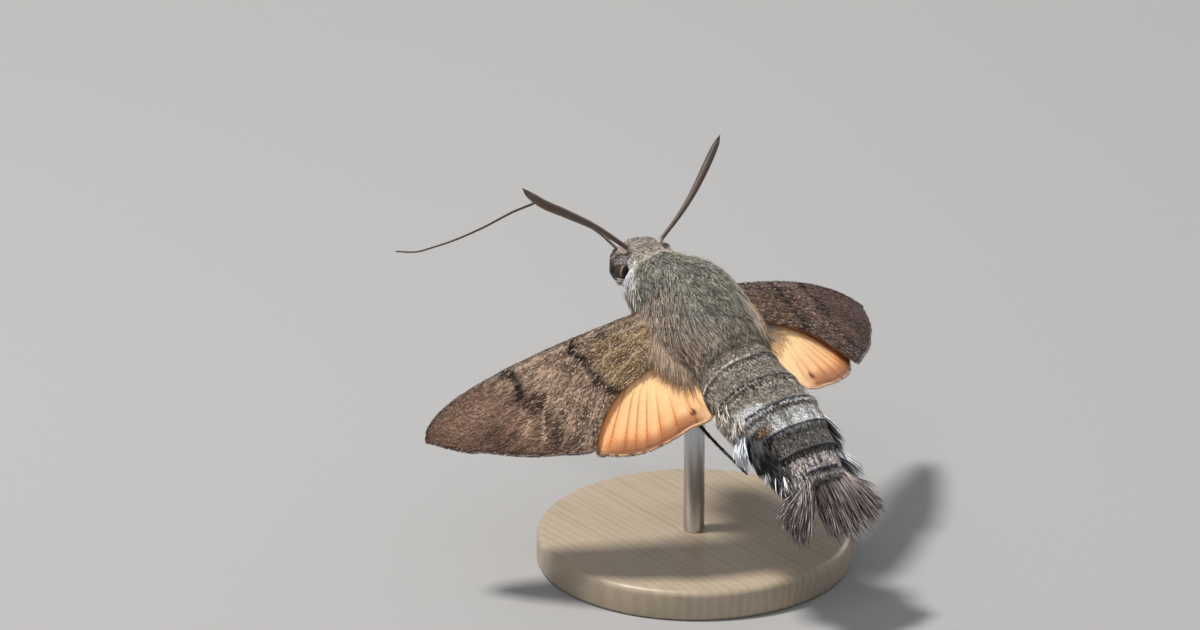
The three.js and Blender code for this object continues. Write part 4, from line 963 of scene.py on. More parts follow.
def hindwing_colours(a, b, ang, v, under):
    r = np.hypot(a - HIND_ROOT[0], b - HIND_ROOT[1])
    one = a.shape + (3,)
    n1 = fractal(a * 0.9, b * 0.9, 0, 51)
    n3 = noise(a * 9, b * 9, 0, 53)
    n4 = noise(a * 5, b * 5, 0, 55)
    reach = stations(REACH, ang)
    edge = reach * (1 - v)
    col = np.broadcast_to(lin(243, 189, 134), one)
    col = mix(col, lin(252, 214, 166), 0.7 * bell(ang, 70, 20) * smooth(2.8, 1.0, edge))
    col = mix(col, lin(252, 214, 160), 0.5 * bell(r, 4.2, 1.6))
    vein = np.full(a.shape, 9.0)
    for line in HIND_VEIN_LINES:
        vein = np.minimum(vein, line_distance(a, b, line))
    deep = smooth(3.6, 0.6, edge + 1.0 * (n1 - 0.5)) * smooth(84, 66, ang)
    col = mix(col, lin(240, 152, 88), deep * (0.35 + 0.65 * smooth(0.45, 0.1, vein)))
    margin = smooth(0.42, 0.16, edge + 0.16 * (n1 - 0.5)) * smooth(20, 28, ang) * smooth(84, 68, ang)
    col = mix(col, lin(164, 106, 68), 0.98 * smooth(1.9, 0.4, edge + 0.5 * (n1 - 0.5)) * smooth(22, 36, ang) * smooth(86, 66, ang))
    col = mix(col, lin(112, 76, 54), 0.6 * margin)
    col = mix(col, lin(168, 140, 114), 0.8 * smooth(2.6, 1.0, r))
    col = mix(col, lin(52, 34, 27), 0.9 * smooth(0.3, 0.16, np.hypot(a - 2.34, (b - 9.5) * 0.8)) * smooth(0.3, 0.5, n4))
    col = mix(col, lin(138, 88, 54), 0.75 * smooth(0.085, 0.02, vein) * smooth(3.6, 7.2, r))
    if under:
        low = mix(np.broadcast_to(lin(214, 150, 92), one), lin(160, 104, 66), smooth(0.55, 0.95, v))
        low = mix(low, lin(222, 192, 146), 0.7 * smooth(5, 1.5, r))
        low = mix(low, lin(116, 80, 54), 0.5 * smooth(0.1, 0.03, vein))
        col = low
    col = col * (0.92 + 0.16 * n3)[..., None]
    return col, vein


def wing_blade(name, place, normal_of, colours, n, m, side, material, node):
    """A thin wing with raised veins: place(u, v) gives the middle surface, colours(u, v, under) its markings."""
    u, v = np.meshgrid(np.linspace(0, 1, n), np.linspace(0, 1, m), indexing="ij")
    p = place(u, v)
    up = normal_of
    col_top, vein = colours(u, v, False)
    col_low, _ = colours(u, v, True)
    rim = smooth(0, 0.03, v) * smooth(1, 0.97, v) * smooth(1, 0.985, u)
    rise = 0.035 * np.exp(-(vein / 0.07) ** 2)
    fold = 0.03 * np.cos(np.clip(vein, 0, 0.8) * 3.9)
    half = 0.03 + 0.03 * rim + 0.04 * smooth(4, 0, u * 20)
    top = p + up * (half + rise * rim + fold * rim)[..., None]
    low = p + up * (-half - 0.5 * rise * rim + fold * rim)[..., None]
    verts = np.concatenate([top.reshape(-1, 3), low.reshape(-1, 3)])
    cols = np.concatenate([col_top.reshape(-1, 3), col_low.reshape(-1, 3)])
    flip = side == "left"
    f1 = grid_faces(n, m, flip=not flip)
    f2 = grid_faces(n, m, flip=flip, offset=n * m)
    ring = np.concatenate([np.arange(n - 1) * m, (n - 1) * m + np.arange(m - 1), (np.arange(n - 1, 0, -1)) * m + m - 1, np.arange(m - 1, 0, -1)])
    nxt = np.roll(ring, -1)
    wall = np.stack([ring, nxt, nxt + n * m, ring + n * m], 1)
    if flip:
        wall = wall[:, ::-1]
    ob = mesh_object(name, verts, [f1, f2, wall], material, cols)
    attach(ob, "root")
    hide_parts(node)
    return ob


def margin_uv(x, y, t, across):
    return tuft_uv(0.03 + 0.94 * x, 0.03 + 0.94 * y, t, across)


def fringe(name, root, out, up, length, width, colour, rng, material, slot, uv_x, uv_y, segments=2, droop=0.0, ridge=0.25):
    """Rows of flat scales that stand out from an edge. root, out, up (n, 3)."""
    n = len(root)
    x = np.linspace(0, 1, segments + 1)
    L = length * rng.uniform(0.7, 1.25, n)
    p = root[:, None] + out[:, None] * (L[:, None] * x[None])[..., None] - up[:, None] * (droop * (x[None] ** 2))[..., None]
    nr = np.repeat(up[:, None], segments + 1, 1)
    profile = np.interp(np.arange(segments) / segments, [0, 0.5, 1], [0.7, 1.0, 0.8])
    pts, faces, t, across, per = blades(p, nr, width * rng.uniform(0.7, 1.3, n), profile, ridge)
    shade = np.clip(rng.normal(1, 0.15, n), 0.5, 1.5)
    cols = (colour * shade[:, None])[:, None, :] * (0.85 + 0.25 * t)[None, :, None]
    return pts, faces, cols.reshape(-1, 3), margin_uv(uv_x, uv_y, t, across)


def join_parts(name, parts, material):
    offset, V, F, C, U = 0, [], [], [], []
    for p, f, c, uv in parts:
        V.append(p); F.append(f + offset); C.append(c); U.append(uv)
        offset += len(p)
    ob = mesh_object(name, np.concatenate(V), np.concatenate(F), material, np.concatenate(C), np.concatenate(U))
    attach(ob, "root")
    return ob


for side in ("left", "right"):
    root, out, back, up = wing_axes(side)

    def fore_place(u, v, lift=0.0):
        a = FORE_LENGTH * (1 - (1 - u) ** 1.25)
        b = stations(COSTA, a) * (1 - v) + stations(REAR, a) * v
        if side == "right":
            b = b + 0.34 * smooth(11, 17, a) * v * smooth(20.4, 19, a)
            a = a * (1 + 0.014 * smooth(10, 20, a))
        return root + out * a[..., None] + back * b[..., None] + up * (camber(side, a, b) + lift)[..., None]

    def fore_cols(u, v, under):
        a = FORE_LENGTH * (1 - (1 - u) ** 1.25)
        b = stations(COSTA, a) * (1 - v) + stations(REAR, a) * v
        tones, line = forewing_colours(a, b, under)
        tones = tones * (1 + 0.22 * smooth(15.5, 18.5, a))[..., None]
        # The right forewing's upper face is darkened as painted shade.
        return (tones if side == "left" or under else tones * [0.5, 0.42, 0.44]), line

    wing_blade("forewing_blade_" + side, fore_place, up, fore_cols, 150, 56, side, M_FOREWING, "forewing_" + side)

    def hind_ab(u, v):
        ang = REACH[0][0] + (REACH[-1][0] - REACH[0][0]) * u
        reach = 0.5 + (stations(REACH, ang) - 0.5) * v
        return ang, reach

    def hind_place(u, v, lift=0.0):
        ang, reach = hind_ab(u, v)
        reach = reach * HIND_SCALE[side]
        turned = np.radians(ang - HIND_TURN[side] * (1 - 1.15 * smooth(48, 88, ang)))
        if side == "right":
            reach = reach * (1 + 0.16 * smooth(80, 92, ang))
        a = HIND_ROOT[0] + reach * np.cos(turned)
        b = HIND_ROOT[1] + reach * np.sin(turned)
        drop = HIND_DROP + 0.1 * smooth(4, 11, b)
        return root + out * a[..., None] + back * b[..., None] + up * (camber(side, a, b) - drop + lift)[..., None]

    def hind_cols(u, v, under):
        ang, reach = hind_ab(u, v)
        a = HIND_ROOT[0] + reach * np.cos(np.radians(ang))
        b = HIND_ROOT[1] + reach * np.sin(np.radians(ang))
        tones, line = hindwing_colours(a, b, ang, v, under)
        # The right hindwing's upper face is lightened as painted light.
        return (tones if side == "left" or under else np.clip(tones * 1.12, 0, 0.97)), line

    wing_blade("hindwing_blade_" + side, hind_place, up, hind_cols, 120, 64, side, M_HINDWING, "hindwing_" + side)

    # Fringes: short scales along the outer and rear margins of both wings.
    rng = np.random.default_rng(40 if side == "left" else 41)
    parts = []
    n = 1150
    u = rng.uniform(0.42, 1.0, n)
    p0 = fore_place(u, np.ones(n) * 0.992)
    p1 = fore_place(u, np.ones(n))
    e = 0.004
    along_edge = fore_place(np.minimum(u + e, 1), np.ones(n)) - fore_place(u - e, np.ones(n))
    along_edge /= np.linalg.norm(along_edge, axis=1, keepdims=True)
    outward = np.cross(along_edge, np.broadcast_to(up, (n, 3)))
    outward *= np.sign(np.sum(outward * (p1 - p0), 1))[:, None]
    outward += along_edge * rng.normal(0, 0.18, n)[:, None]
    outward /= np.linalg.norm(outward, axis=1, keepdims=True)
    tone = mix(np.broadcast_to(lin(84, 64, 54), (n, 3)), lin(128, 106, 90), smooth(0.45, 0.75, noise(u * 40, 0, 0, 61)))
    parts.append(fringe("", p1 - outward * 0.08, outward, np.broadcast_to(up, (n, 3)), 0.3, 0.09, tone, rng, None, None, u * 0.45, np.full(n, 0.1)))
    n = 1150
    u = rng.uniform(0.16, 1.0, n)
    p0 = hind_place(u, np.ones(n) * 0.98)
    p1 = hind_place(u, np.ones(n))
    outward = p1 - p0
    outward /= np.linalg.norm(outward, axis=1, keepdims=True)
    outward += out * rng.normal(0, 0.15, n)[:, None]
    outward /= np.linalg.norm(outward, axis=1, keepdims=True)
    ang = REACH[0][0] + (REACH[-1][0] - REACH[0][0]) * u
    tone = mix(np.broadcast_to(lin(120, 84, 62), (n, 3)), lin(232, 178, 130), np.clip(smooth(0.4, 0.7, noise(u * 50, 0, 0, 63)) * 0.6 + smooth(52, 66, ang), 0, 1))
    parts.append(fringe("", p1 - outward * 0.1, outward, np.broadcast_to(up, (n, 3)), 0.36, 0.085, tone, rng, None, None, u * 0.45 + 0.5, np.full(n, 0.1)))
    # Scales that lie over the costa, and hair over the wing roots and the base of the hindwing.
    n = 900
    u = rng.uniform(0.02, 0.97, n)
    vv = rng.uniform(0.0, 0.05, n)
    p0 = fore_place(u, vv)
    along_edge = fore_place(np.minimum(u + e, 1), vv) - fore_place(u - e, vv)
    along_edge /= np.linalg.norm(along_edge, axis=1, keepdims=True)
    tone = mix(np.broadcast_to(lin(84, 70, 60), (n, 3)), lin(158, 144, 126), (rng.random(n) < 0.3) * 0.8)
    parts.append(fringe("", p0 + up * 0.05, along_edge + up * 0.03, np.broadcast_to(up, (n, 3)), 0.45, 0.09, tone, rng, None, None, u * 0.45, 0.3 + vv * 2))
    join_parts("wing_fringe_" + side, parts, M_SCALES)

    # Scales lie over the upper face of the forewing, pointing outwards and to the rear.
    rng = np.random.default_rng(44 if side == "left" else 45)
    parts = []
    for kind, count in (("fore", 8000),):
        n = count
        if kind == "fore":
            u, vv = rng.uniform(0.02, 0.985, n), rng.uniform(0.02, 0.985, n)
            place, cols_of, shift = fore_place, fore_cols, (0.004, 0.0)
        else:
            u, vv = rng.uniform(0.12, 0.99, n), np.sqrt(rng.uniform(0.03, 0.97, n))
            place, cols_of, shift = hind_place, hind_cols, (0.0, 0.004)
        p0 = place(u, vv, 0.075)
        du = place(u + 0.004, vv, 0.075) - p0
        dv = place(u, vv + 0.004, 0.075) - p0
        if kind == "fore":
            heading = du / np.linalg.norm(du, axis=1, keepdims=True) * 1.0 + dv / np.linalg.norm(dv, axis=1, keepdims=True) * 0.45
        else:
            heading = dv.copy()
        heading /= np.linalg.norm(heading, axis=1, keepdims=True)
        across_ = np.cross(up, heading)
        heading = heading + across_ * rng.normal(0, 0.3, n)[:, None]
        heading /= np.linalg.norm(heading, axis=1, keepdims=True)
        L = rng.uniform(0.22, 0.42, n)
        x = np.linspace(0, 1, 3)
        path = p0[:, None] + heading[:, None] * (L[:, None] * x[None])[..., None]
        rel = path - root
        aa, bb = rel @ out, rel @ back
        base_h = (p0 - root) @ up - camber(side, (p0 - root) @ out, (p0 - root) @ back)
        target = camber(side, aa, bb) + base_h[:, None] + ((0.012 + 0.05 * x) if kind == "fore" else (0.004 + 0.014 * x))[None, :] * rng.uniform(0.5, 1.4, n)[:, None]
        path = path + up * (target - rel @ up)[..., None]
        tilt = np.broadcast_to(up, path.shape) + across_[:, None] * rng.normal(0, 0.25, (n, 1, 1))
        tilt = tilt / np.linalg.norm(tilt, axis=2, keepdims=True)
        pts_, faces_, tl, acr, _ = blades(path, tilt, rng.uniform(0.07, 0.12, n), (0.9, 1.0), 0.2)
        tone, _ = cols_of(u, vv, False)
        pick = rng.random(n)
        if kind == "fore":
            rel0 = p0 - root
            inner = smooth(13.5, 10.5, rel0 @ out)
            tone = np.where((pick < 0.14)[:, None], mix(tone, lin(214, 194, 172), 0.15 + 0.55 * inner), tone)
            tone = np.where((pick > 0.84)[:, None], tone * (1 - 0.45 * inner)[:, None], tone)
            shade = np.clip(rng.normal(1.04, 0.12, n), 0.6, 1.5)
        else:
            shade = np.clip(rng.normal(1.04, 0.04, n), 0.95, 1.2)
        c = (tone * shade[:, None])[:, None, :] * (0.9 + 0.16 * tl)[None, :, None]
        uv = tuft_uv(0.02 + 0.46 * u + (0.0 if kind == "fore" else 0.5), 0.02 + 0.96 * vv, tl, acr)
        parts.append((pts_, faces_, c.reshape(-1, 3), uv))
    join_parts("wing_scales_" + side, parts, M_FLAKES)

    # Long hair streams from the side of the thorax over the roots of both wings.
    parts = []
    sign = 1 if side == "left" else -1
    n = 2500
    s0 = rng.uniform(-1.6, 4.3, n)
    high = rng.uniform(0, 1, n) ** 1.7
    th0 = np.radians(4 + 58 * high)
    th0 = th0 if side == "left" else np.pi - th0
    r0, n0 = body(s0, th0, 0.05)
    t = np.linspace(0, 1, 5)
    L = rng.uniform(1.0, 2.4, n) * (0.6 + 0.5 * smooth(-1.5, 3, s0))
    direction = np.array([-1.0, 0, 0]) * rng.uniform(0.75, 1.0, n)[:, None] + out * (rng.uniform(0.05, 0.75 if side == "left" else 0.4, n) * smooth(4.2, 0, s0))[:, None] + up * 0.05
    direction /= np.linalg.norm(direction, axis=1, keepdims=True)
    path = r0[:, None] + direction[:, None] * (L[:, None] * t[None])[..., None]
    lift = 0.28 * np.sin(t * np.pi) ** 1.0 + 0.1
    path = path + n0[:, None] * (lift[None] * rng.uniform(0.4, 1.1, n)[:, None])[..., None] - up * (0.35 * t ** 2)[None, :, None]
    # Keep the hair above the forewing's upper face.
    rel = path - root
    aa, bb, hh = rel @ out, rel @ back, rel @ up
    floor_h = camber(side, np.clip(aa, 0, 20), bb) + 0.1 + 0.1 * rng.random(n)[:, None]
    over = (aa > -0.3) & (bb > -0.3) & (bb < 5.4)
    lift_by = np.where(over, np.maximum(floor_h - hh, 0), 0)
    path = path + up * lift_by[..., None]
    pts_, faces_, tl, across_, per_ = blades(path, np.repeat(((n0 + up) / np.linalg.norm(n0 + up, axis=1, keepdims=True))[:, None], 5, 1),
                                             0.062 * rng.uniform(0.7, 1.3, n), (0.8, 1.0, 0.85, 0.5))
    base = mix(marking(s0, th0), lin(168, 144, 122), np.clip(1.0 - 1.1 * high, 0, 1) * rng.uniform(0.3, 1.0, n))
    pick = rng.random(n)
    base = np.where((pick < 0.2)[:, None], mix(base, lin(196, 182, 162), np.full(n, 0.6)), base)
    base = np.where((pick > 0.72)[:, None], base * 0.32, base)
    cols_ = (base * np.clip(rng.normal(1, 0.2, n), 0.5, 1.6)[:, None])[:, None, :] * (0.55 + 0.7 * smooth(0, 0.7, tl))[None, :, None]
    parts.append((pts_, faces_, cols_.reshape(-1, 3), tuft_uv(0.02 + 0.96 * (s0 - S_MIN) / (S_MAX - S_MIN), 0.02 + 0.96 * (th0 / 6.2832), tl, across_)))
    # longer hair that fans out over the base of the hindwing
    n = 800
    s0 = rng.uniform(0.4, 3.4, n)
    th0 = np.radians(rng.uniform(-4, 22, n))
    th0 = th0 if side == "left" else np.pi - th0
    r0, n0 = body(s0, th0, 0.04)
    t = np.linspace(0, 1, 5)
    L = rng.uniform(1.9, 3.5, n) * (smooth(5.6, 3.0, s0) * 0.35 + 0.65 if side == "left" else 0.5)
    lean = (1.0 if side == "left" else 0.4) * rng.uniform(0.25, 1.0, n) * stations([[0.6, 1.5], [2.5, 1.25], [4.9, 0.75]], s0)
    direction = np.array([-1.0, 0, 0]) * 0.85 + out * lean[:, None]
    direction /= np.linalg.norm(direction, axis=1, keepdims=True)
    path = r0[:, None] + direction[:, None] * (L[:, None] * t[None])[..., None] + np.array([-1.0, 0, 0]) * (0.3 * L[:, None] * t[None] ** 2)[..., None]
    rel = path - root
    aa, bb, hh = rel @ out, rel @ back, rel @ up
    fore_h = camber(side, np.clip(aa, 0, 20), bb) + 0.14 + 0.12 * rng.random(n)[:, None]
    hind_h = camber(side, np.clip(aa, 0, 20), bb) - HIND_DROP + 0.1 + 0.3 * rng.random(n)[:, None]
    goal = np.where(bb < 5.0, fore_h, hind_h + (fore_h - hind_h) * smooth(7.2, 5.0, bb))
    path = path + up * (np.where(t[None] > 0.15, goal - hh, 0) * smooth(0.0, 0.6, t)[None])[..., None]
    pts_, faces_, tl, across_, per_ = blades(path, np.repeat(((n0 * 0.3 + up) / np.linalg.norm(n0 * 0.3 + up, axis=1, keepdims=True))[:, None], 5, 1),
                                             0.06 * rng.uniform(0.7, 1.3, n), (0.8, 1.0, 0.85, 0.5))
    base = mix(np.broadcast_to(lin(184, 160, 138), (n, 3)), lin(214, 184, 154), rng.uniform(0, 1, n))
    base = np.where((rng.random(n) > 0.84)[:, None], base * 0.5, base)
    cols_ = (base * np.clip(rng.normal(1, 0.16, n), 0.5, 1.6)[:, None])[:, None, :] * (0.7 + 0.45 * tl)[None, :, None]
    parts.append((pts_, faces_, cols_.reshape(-1, 3), tuft_uv(0.02 + 0.96 * (s0 - S_MIN) / (S_MAX - S_MIN), 0.02 + 0.96 * (th0 / 6.2832), tl, across_)))
    # hair on the base of the hindwing
    n = 500
    angd = rng.uniform(30, 96, n)
    rr = rng.uniform(0.2, 2.9, n)
    uu = (angd - REACH[0][0]) / (REACH[-1][0] - REACH[0][0])
    vr = (rr - 0.5) / (stations(REACH, angd) - 0.5)
    q0 = hind_place(uu, np.clip(vr, 0, 1), 0.05)
    q1 = hind_place(uu, np.clip(vr + 0.1, 0, 1), 0.05)
    dirn = q1 - q0
    dirn /= np.linalg.norm(dirn, axis=1, keepdims=True) + 1e-9
    L = rng.uniform(0.7, 1.5, n)
    t3 = np.linspace(0, 1, 4)
    path = q0[:, None] + dirn[:, None] * (L[:, None] * t3[None])[..., None] + up * (0.16 * np.sin(t3 * np.pi * 0.8))[None, :, None]
    pts_, faces_, tl, across_, per_ = blades(path, np.broadcast_to(up, path.shape), 0.08 * rng.uniform(0.7, 1.3, n), (0.8, 1.0, 0.6))
    base = mix(np.broadcast_to(lin(160, 138, 116), (n, 3)), lin(244, 196, 140), smooth(1.6, 3.2, rr))
    cols_ = (base * np.clip(rng.normal(1, 0.16, n), 0.5, 1.5)[:, None])[:, None, :] * (0.7 + 0.4 * tl)[None, :, None]
    parts.append((pts_, faces_, cols_.reshape(-1, 3), margin_uv(uu, np.clip(vr, 0, 1), tl, across_)))
    join_parts("wing_root_hair_" + side, parts, M_FUR)


# ------------------------------------------------------------------ flank tufts and tail fan
def flank_tufts():
    rng = np.random.default_rng(71)
    parts = []
    blue_white = lin(232, 236, 246)
    # station, spread along, angle above the flank, its spread, reach, outward lean, width, colour, other colour, count
    kinds = [(7.4, 1.5, -30, 12, 1.0, 0.2, 0.08, C_TAUPE, C_DARK, 260), (9.9, 0.9, -20, 13, 1.3, 0.7, 0.08, lin(236, 226, 214), C_BROWN, 320), (11.0, 0.5, -14, 12, 1.2, 0.75, 0.09, lin(240, 234, 226), C_BROWN, 240),
             (11.95, 0.26, -19, 8, 2.3, 1.15, 0.15, blue_white, C_WHITE, 210), (13.1, 0.45, -4, 13, 1.9, 0.3, 0.12, C_BLACK, C_DARK, 210),
             (14.0, 0.5, 2, 13, 1.6, 0.25, 0.12, C_BLACK, C_DARK, 150), (14.7, 0.2, -16, 6, 1.5, 0.6, 0.12, blue_white, C_WHITE, 60),
             (15.2, 0.5, 0, 14, 1.5, 0.3, 0.12, C_BLACK, C_DARK, 170), (16.0, 0.4, 4, 12, 1.7, 0.35, 0.1, C_DARK, C_SILVER, 120),
             (15.9, 0.4, 14, 10, 2.4, 0.75, 0.12, C_WHITE, lin(24, 26, 52), 130), (17.0, 0.16, 12, 5, 0.9, 0.55, 0.12, blue_white, blue_white, 40)]
    for station, along_s, drop, spread_th, reach, lean, wide, tone, other, count in kinds:
        for sign in (1, -1):
            n = count
            far_lean = lean * (1.0 if sign > 0 else {7.4: 0.1, 9.9: 0.3, 11.0: 0.3, 12.0: 0.3, 15.9: 1.25}.get(station, 1.0))
            if sign > 0 and station == 15.9:
                n = 8
            s0 = station + rng.normal(0, along_s * 0.5, n)
            th0 = np.radians(drop + rng.normal(0, spread_th, n))
            th0 = th0 if sign > 0 else np.pi - th0
            r0, n0 = body(np.minimum(s0, 17.3), th0, 0.02)
            _, bk, _ = spine(s0)
            direction = bk * rng.uniform(0.85, 1.0, n)[:, None] + np.array([0, sign, 0]) * (far_lean * rng.uniform(0.5, 1.3, n))[:, None] + n0 * 0.12
            direction /= np.linalg.norm(direction, axis=1, keepdims=True)
            L = reach * rng.uniform(0.55, 1.1, n)
            x = np.linspace(0, 1, 5)
            path = r0[:, None] + direction[:, None] * (L[:, None] * x[None])[..., None]
            path = path + (bk[:, None] * (0.2 * L[:, None] * x[None] ** 2)[..., None])
            path = path - np.array([0, sign, 0]) * (0.16 * L[:, None] * x[None] ** 2)[..., None]
            # tips draw together into a few points
            lock = np.round((s0 - station) / 0.3 + rng.normal(0, 0.2, n)) * 0.3 + station
            pull = ((lock - s0)[:, None] * 0.7 * x[None] ** 1.5)
            path = path + bk[:, None] * pull[..., None]
            nr = np.repeat((n0 * 0.5 + np.array([0, 0, 1.0]) + rng.normal(0, 0.2, (n, 3)))[:, None], 5, 1)
            nr /= np.linalg.norm(nr, axis=2, keepdims=True)
            pts_, faces_, tl, acr, _ = blades(path, nr, wide * rng.uniform(0.65, 1.35, n), (0.6, 1.0, 1.0, 0.75), 0.25)
            base = np.where((rng.random(n) < 0.3)[:, None], other, tone)
            c = (base * np.clip(rng.normal(1, 0.12, n), 0.5, 1.4)[:, None])[:, None, :] * (0.8 + 0.25 * tl)[None, :, None]
            parts.append((pts_, faces_, c.reshape(-1, 3), tuft_uv(0.02 + 0.96 * (s0 - S_MIN) / (S_MAX - S_MIN), 0.02 + 0.96 * ((th0 / 6.2832) % 1), tl, acr)))
    join_parts("coat_flank_tufts", parts, M_SCALES)


flank_tufts()
join_parts("coat_ring_edges", ring_rows(), M_SCALES)

FAN_ROOT = 17.62
# Each lobe: its root's inner and outer edge, then across the lobe from -1 (inner) to 1 (outer) the tips' place and reach.
LOBE = {
    "left": ([0.7, 2.4], [[-1, 2.0, 2.7], [-0.3, 2.75, 3.7], [0.2, 3.3, 4.0], [0.6, 3.8, 3.2], [1, 4.2, 1.6]]),
    "right": ([0.5, -2.5], [[-1, 0.45, 4.2], [-0.5, -0.8, 4.5], [0, -2.4, 4.35], [0.5, -3.9, 3.9], [1, -5.1, 2.8]]),
}


def fan_lobe(side):
    rng = np.random.default_rng(81 if side == "left" else 82)
    sign = 1 if side == "left" else -1
    ends, tips = LOBE[side]
    at, bk, up = (a[None] for a in spine(np.array(FAN_ROOT)))
    n = 560 if side == "left" else 960
    c = rng.uniform(-1, 1, n)
    layer = rng.uniform(-1, 1, n)
    depth = np.sqrt(np.clip(1 - c ** 2 * 0.75, 0, 1))
    knots = 5 if side == "left" else 9
    lock = np.clip(np.round((c + 1) / 2 * knots + rng.normal(0, 0.2, n)) / knots * 2 - 1, -1.02, 1.02)
    c_tip = c + (lock - c) * 0.45 + rng.normal(0, 0.08, n)
    tip_y = stations([(q[0], q[1]) for q in tips], c_tip)
    reach = stations([(q[0], q[2]) for q in tips], c_tip) * np.where(rng.random(n) < 0.35, rng.uniform(0.35, 0.8, n), np.clip(rng.normal(0.95, 0.09, n), 0.7, 1.12))
    root_y = ends[0] + (ends[1] - ends[0]) * (1 + c) / 2
    start = rng.uniform(-0.35, 0.3, n)
    K = 8
    x = np.linspace(0, 1, K + 1)[None]
    r = start[:, None] + (reach - start)[:, None] * x
    tn = np.clip(r / np.maximum(reach, 0.5)[:, None], 0, 1)
    y = root_y[:, None] + (tip_y - root_y)[:, None] * tn ** 1.15
    high = (1.5 * layer * depth)[:, None] * (1 - tn) + (0.55 * layer * depth)[:, None] * tn
    high = high * (1 - 0.25 * smooth(0.1, -0.9, r))
    z = high - 0.45 * tn * tn + 0.16 * np.sin(tn * np.pi) * np.sign(layer)[:, None]
    y = y + rng.normal(0, 0.12, n)[:, None] * x ** 2
    z = z + rng.normal(0, 0.14, n)[:, None] * x ** 2
    path = at[:, None] + bk[:, None] * r[..., None] + up[:, None] * z[..., None]
    path[..., 1] += y
    nr = np.broadcast_to(up[:, None], path.shape) + 0.45 * rng.normal(0, 1, (n, 1, 3))
    nr = nr / np.linalg.norm(nr, axis=2, keepdims=True)
    pts_, faces_, tl, acr, _ = blades(path, nr, 0.06 * rng.uniform(0.7, 1.4, n), (0.7, 0.8, 0.9, 1.0, 1.0, 1.0, 0.95, 0.75), 0.4)
    # Painted shade and light: the left lobe's bristles are darkened, and the right lobe's are lightened and given more
    # pale bristles.
    base = np.broadcast_to(C_FAN * (0.55 if side == "left" else 1.75), (n, 3))
    pick = rng.random(n)
    base = np.where((pick < (0.08 if side == "left" else 0.24))[:, None], lin(196, 178, 172), base)
    base = np.where((pick > 0.5)[:, None], lin(52, 43, 41), base)
    cols_ = (base * np.clip(rng.normal(1, 0.2, n), 0.5, 1.6)[:, None])[:, None, :] * (1.0 - 0.1 * tl)[None, :, None]
    glint = rng.uniform(-0.1, 1.1, (3, n))
    for g in glint:
        cols_ = mix(cols_, lin(246, 230, 226), 0.9 * (rng.random(n) < 0.5)[:, None] * bell(tl[None, :], g[:, None], 0.07))
    cols_ = mix(cols_, lin(232, 212, 206), (0.9 * (rng.random(n) < (0.4 if side == "left" else 0.66)))[:, None] * smooth(0.5, 0.16, tl)[None, :])
    uv = margin_uv((c + 1) / 4.2 + (0.5 if sign < 0 else 0), (layer + 1) / 2, tl, acr)
    ob = mesh_object("tail_fan_bristles_" + side, pts_, faces_, M_BRISTLE, cols_.reshape(-1, 3), uv)
    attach(ob, "root")
    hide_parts("tail_fan_" + side)


fan_lobe("left")
fan_lobe("right")


# ------------------------------------------------------------------ eyes
def eye_material():
    mat, nt, bsdf = node_material("moth_eye", 0.46, specular=0.35, coat=0.15)
    bsdf.inputs["Coat Roughness"].default_value = 0.12
    attr = add(nt, "ShaderNodeAttribute", attribute_name="Col")
    nt.links.new(attr.outputs["Color"], bsdf.inputs["Base Color"])
    coord = add(nt, "ShaderNodeTexCoord")
    vor = add(nt, "ShaderNodeTexVoronoi")
    vor.inputs["Scale"].default_value = 26000.0
    b = add(nt, "ShaderNodeBump")
    b.inputs["Strength"].default_value = 0.25
    b.inputs["Distance"].default_value = 1e-5
    b.invert = True
    nt.links.new(coord.outputs["Object"], vor.inputs["Vector"])
    nt.links.new(vor.outputs["Distance"], b.inputs["Height"])
    nt.links.new(b.outputs["Normal"], bsdf.inputs["Normal"])
    return mat


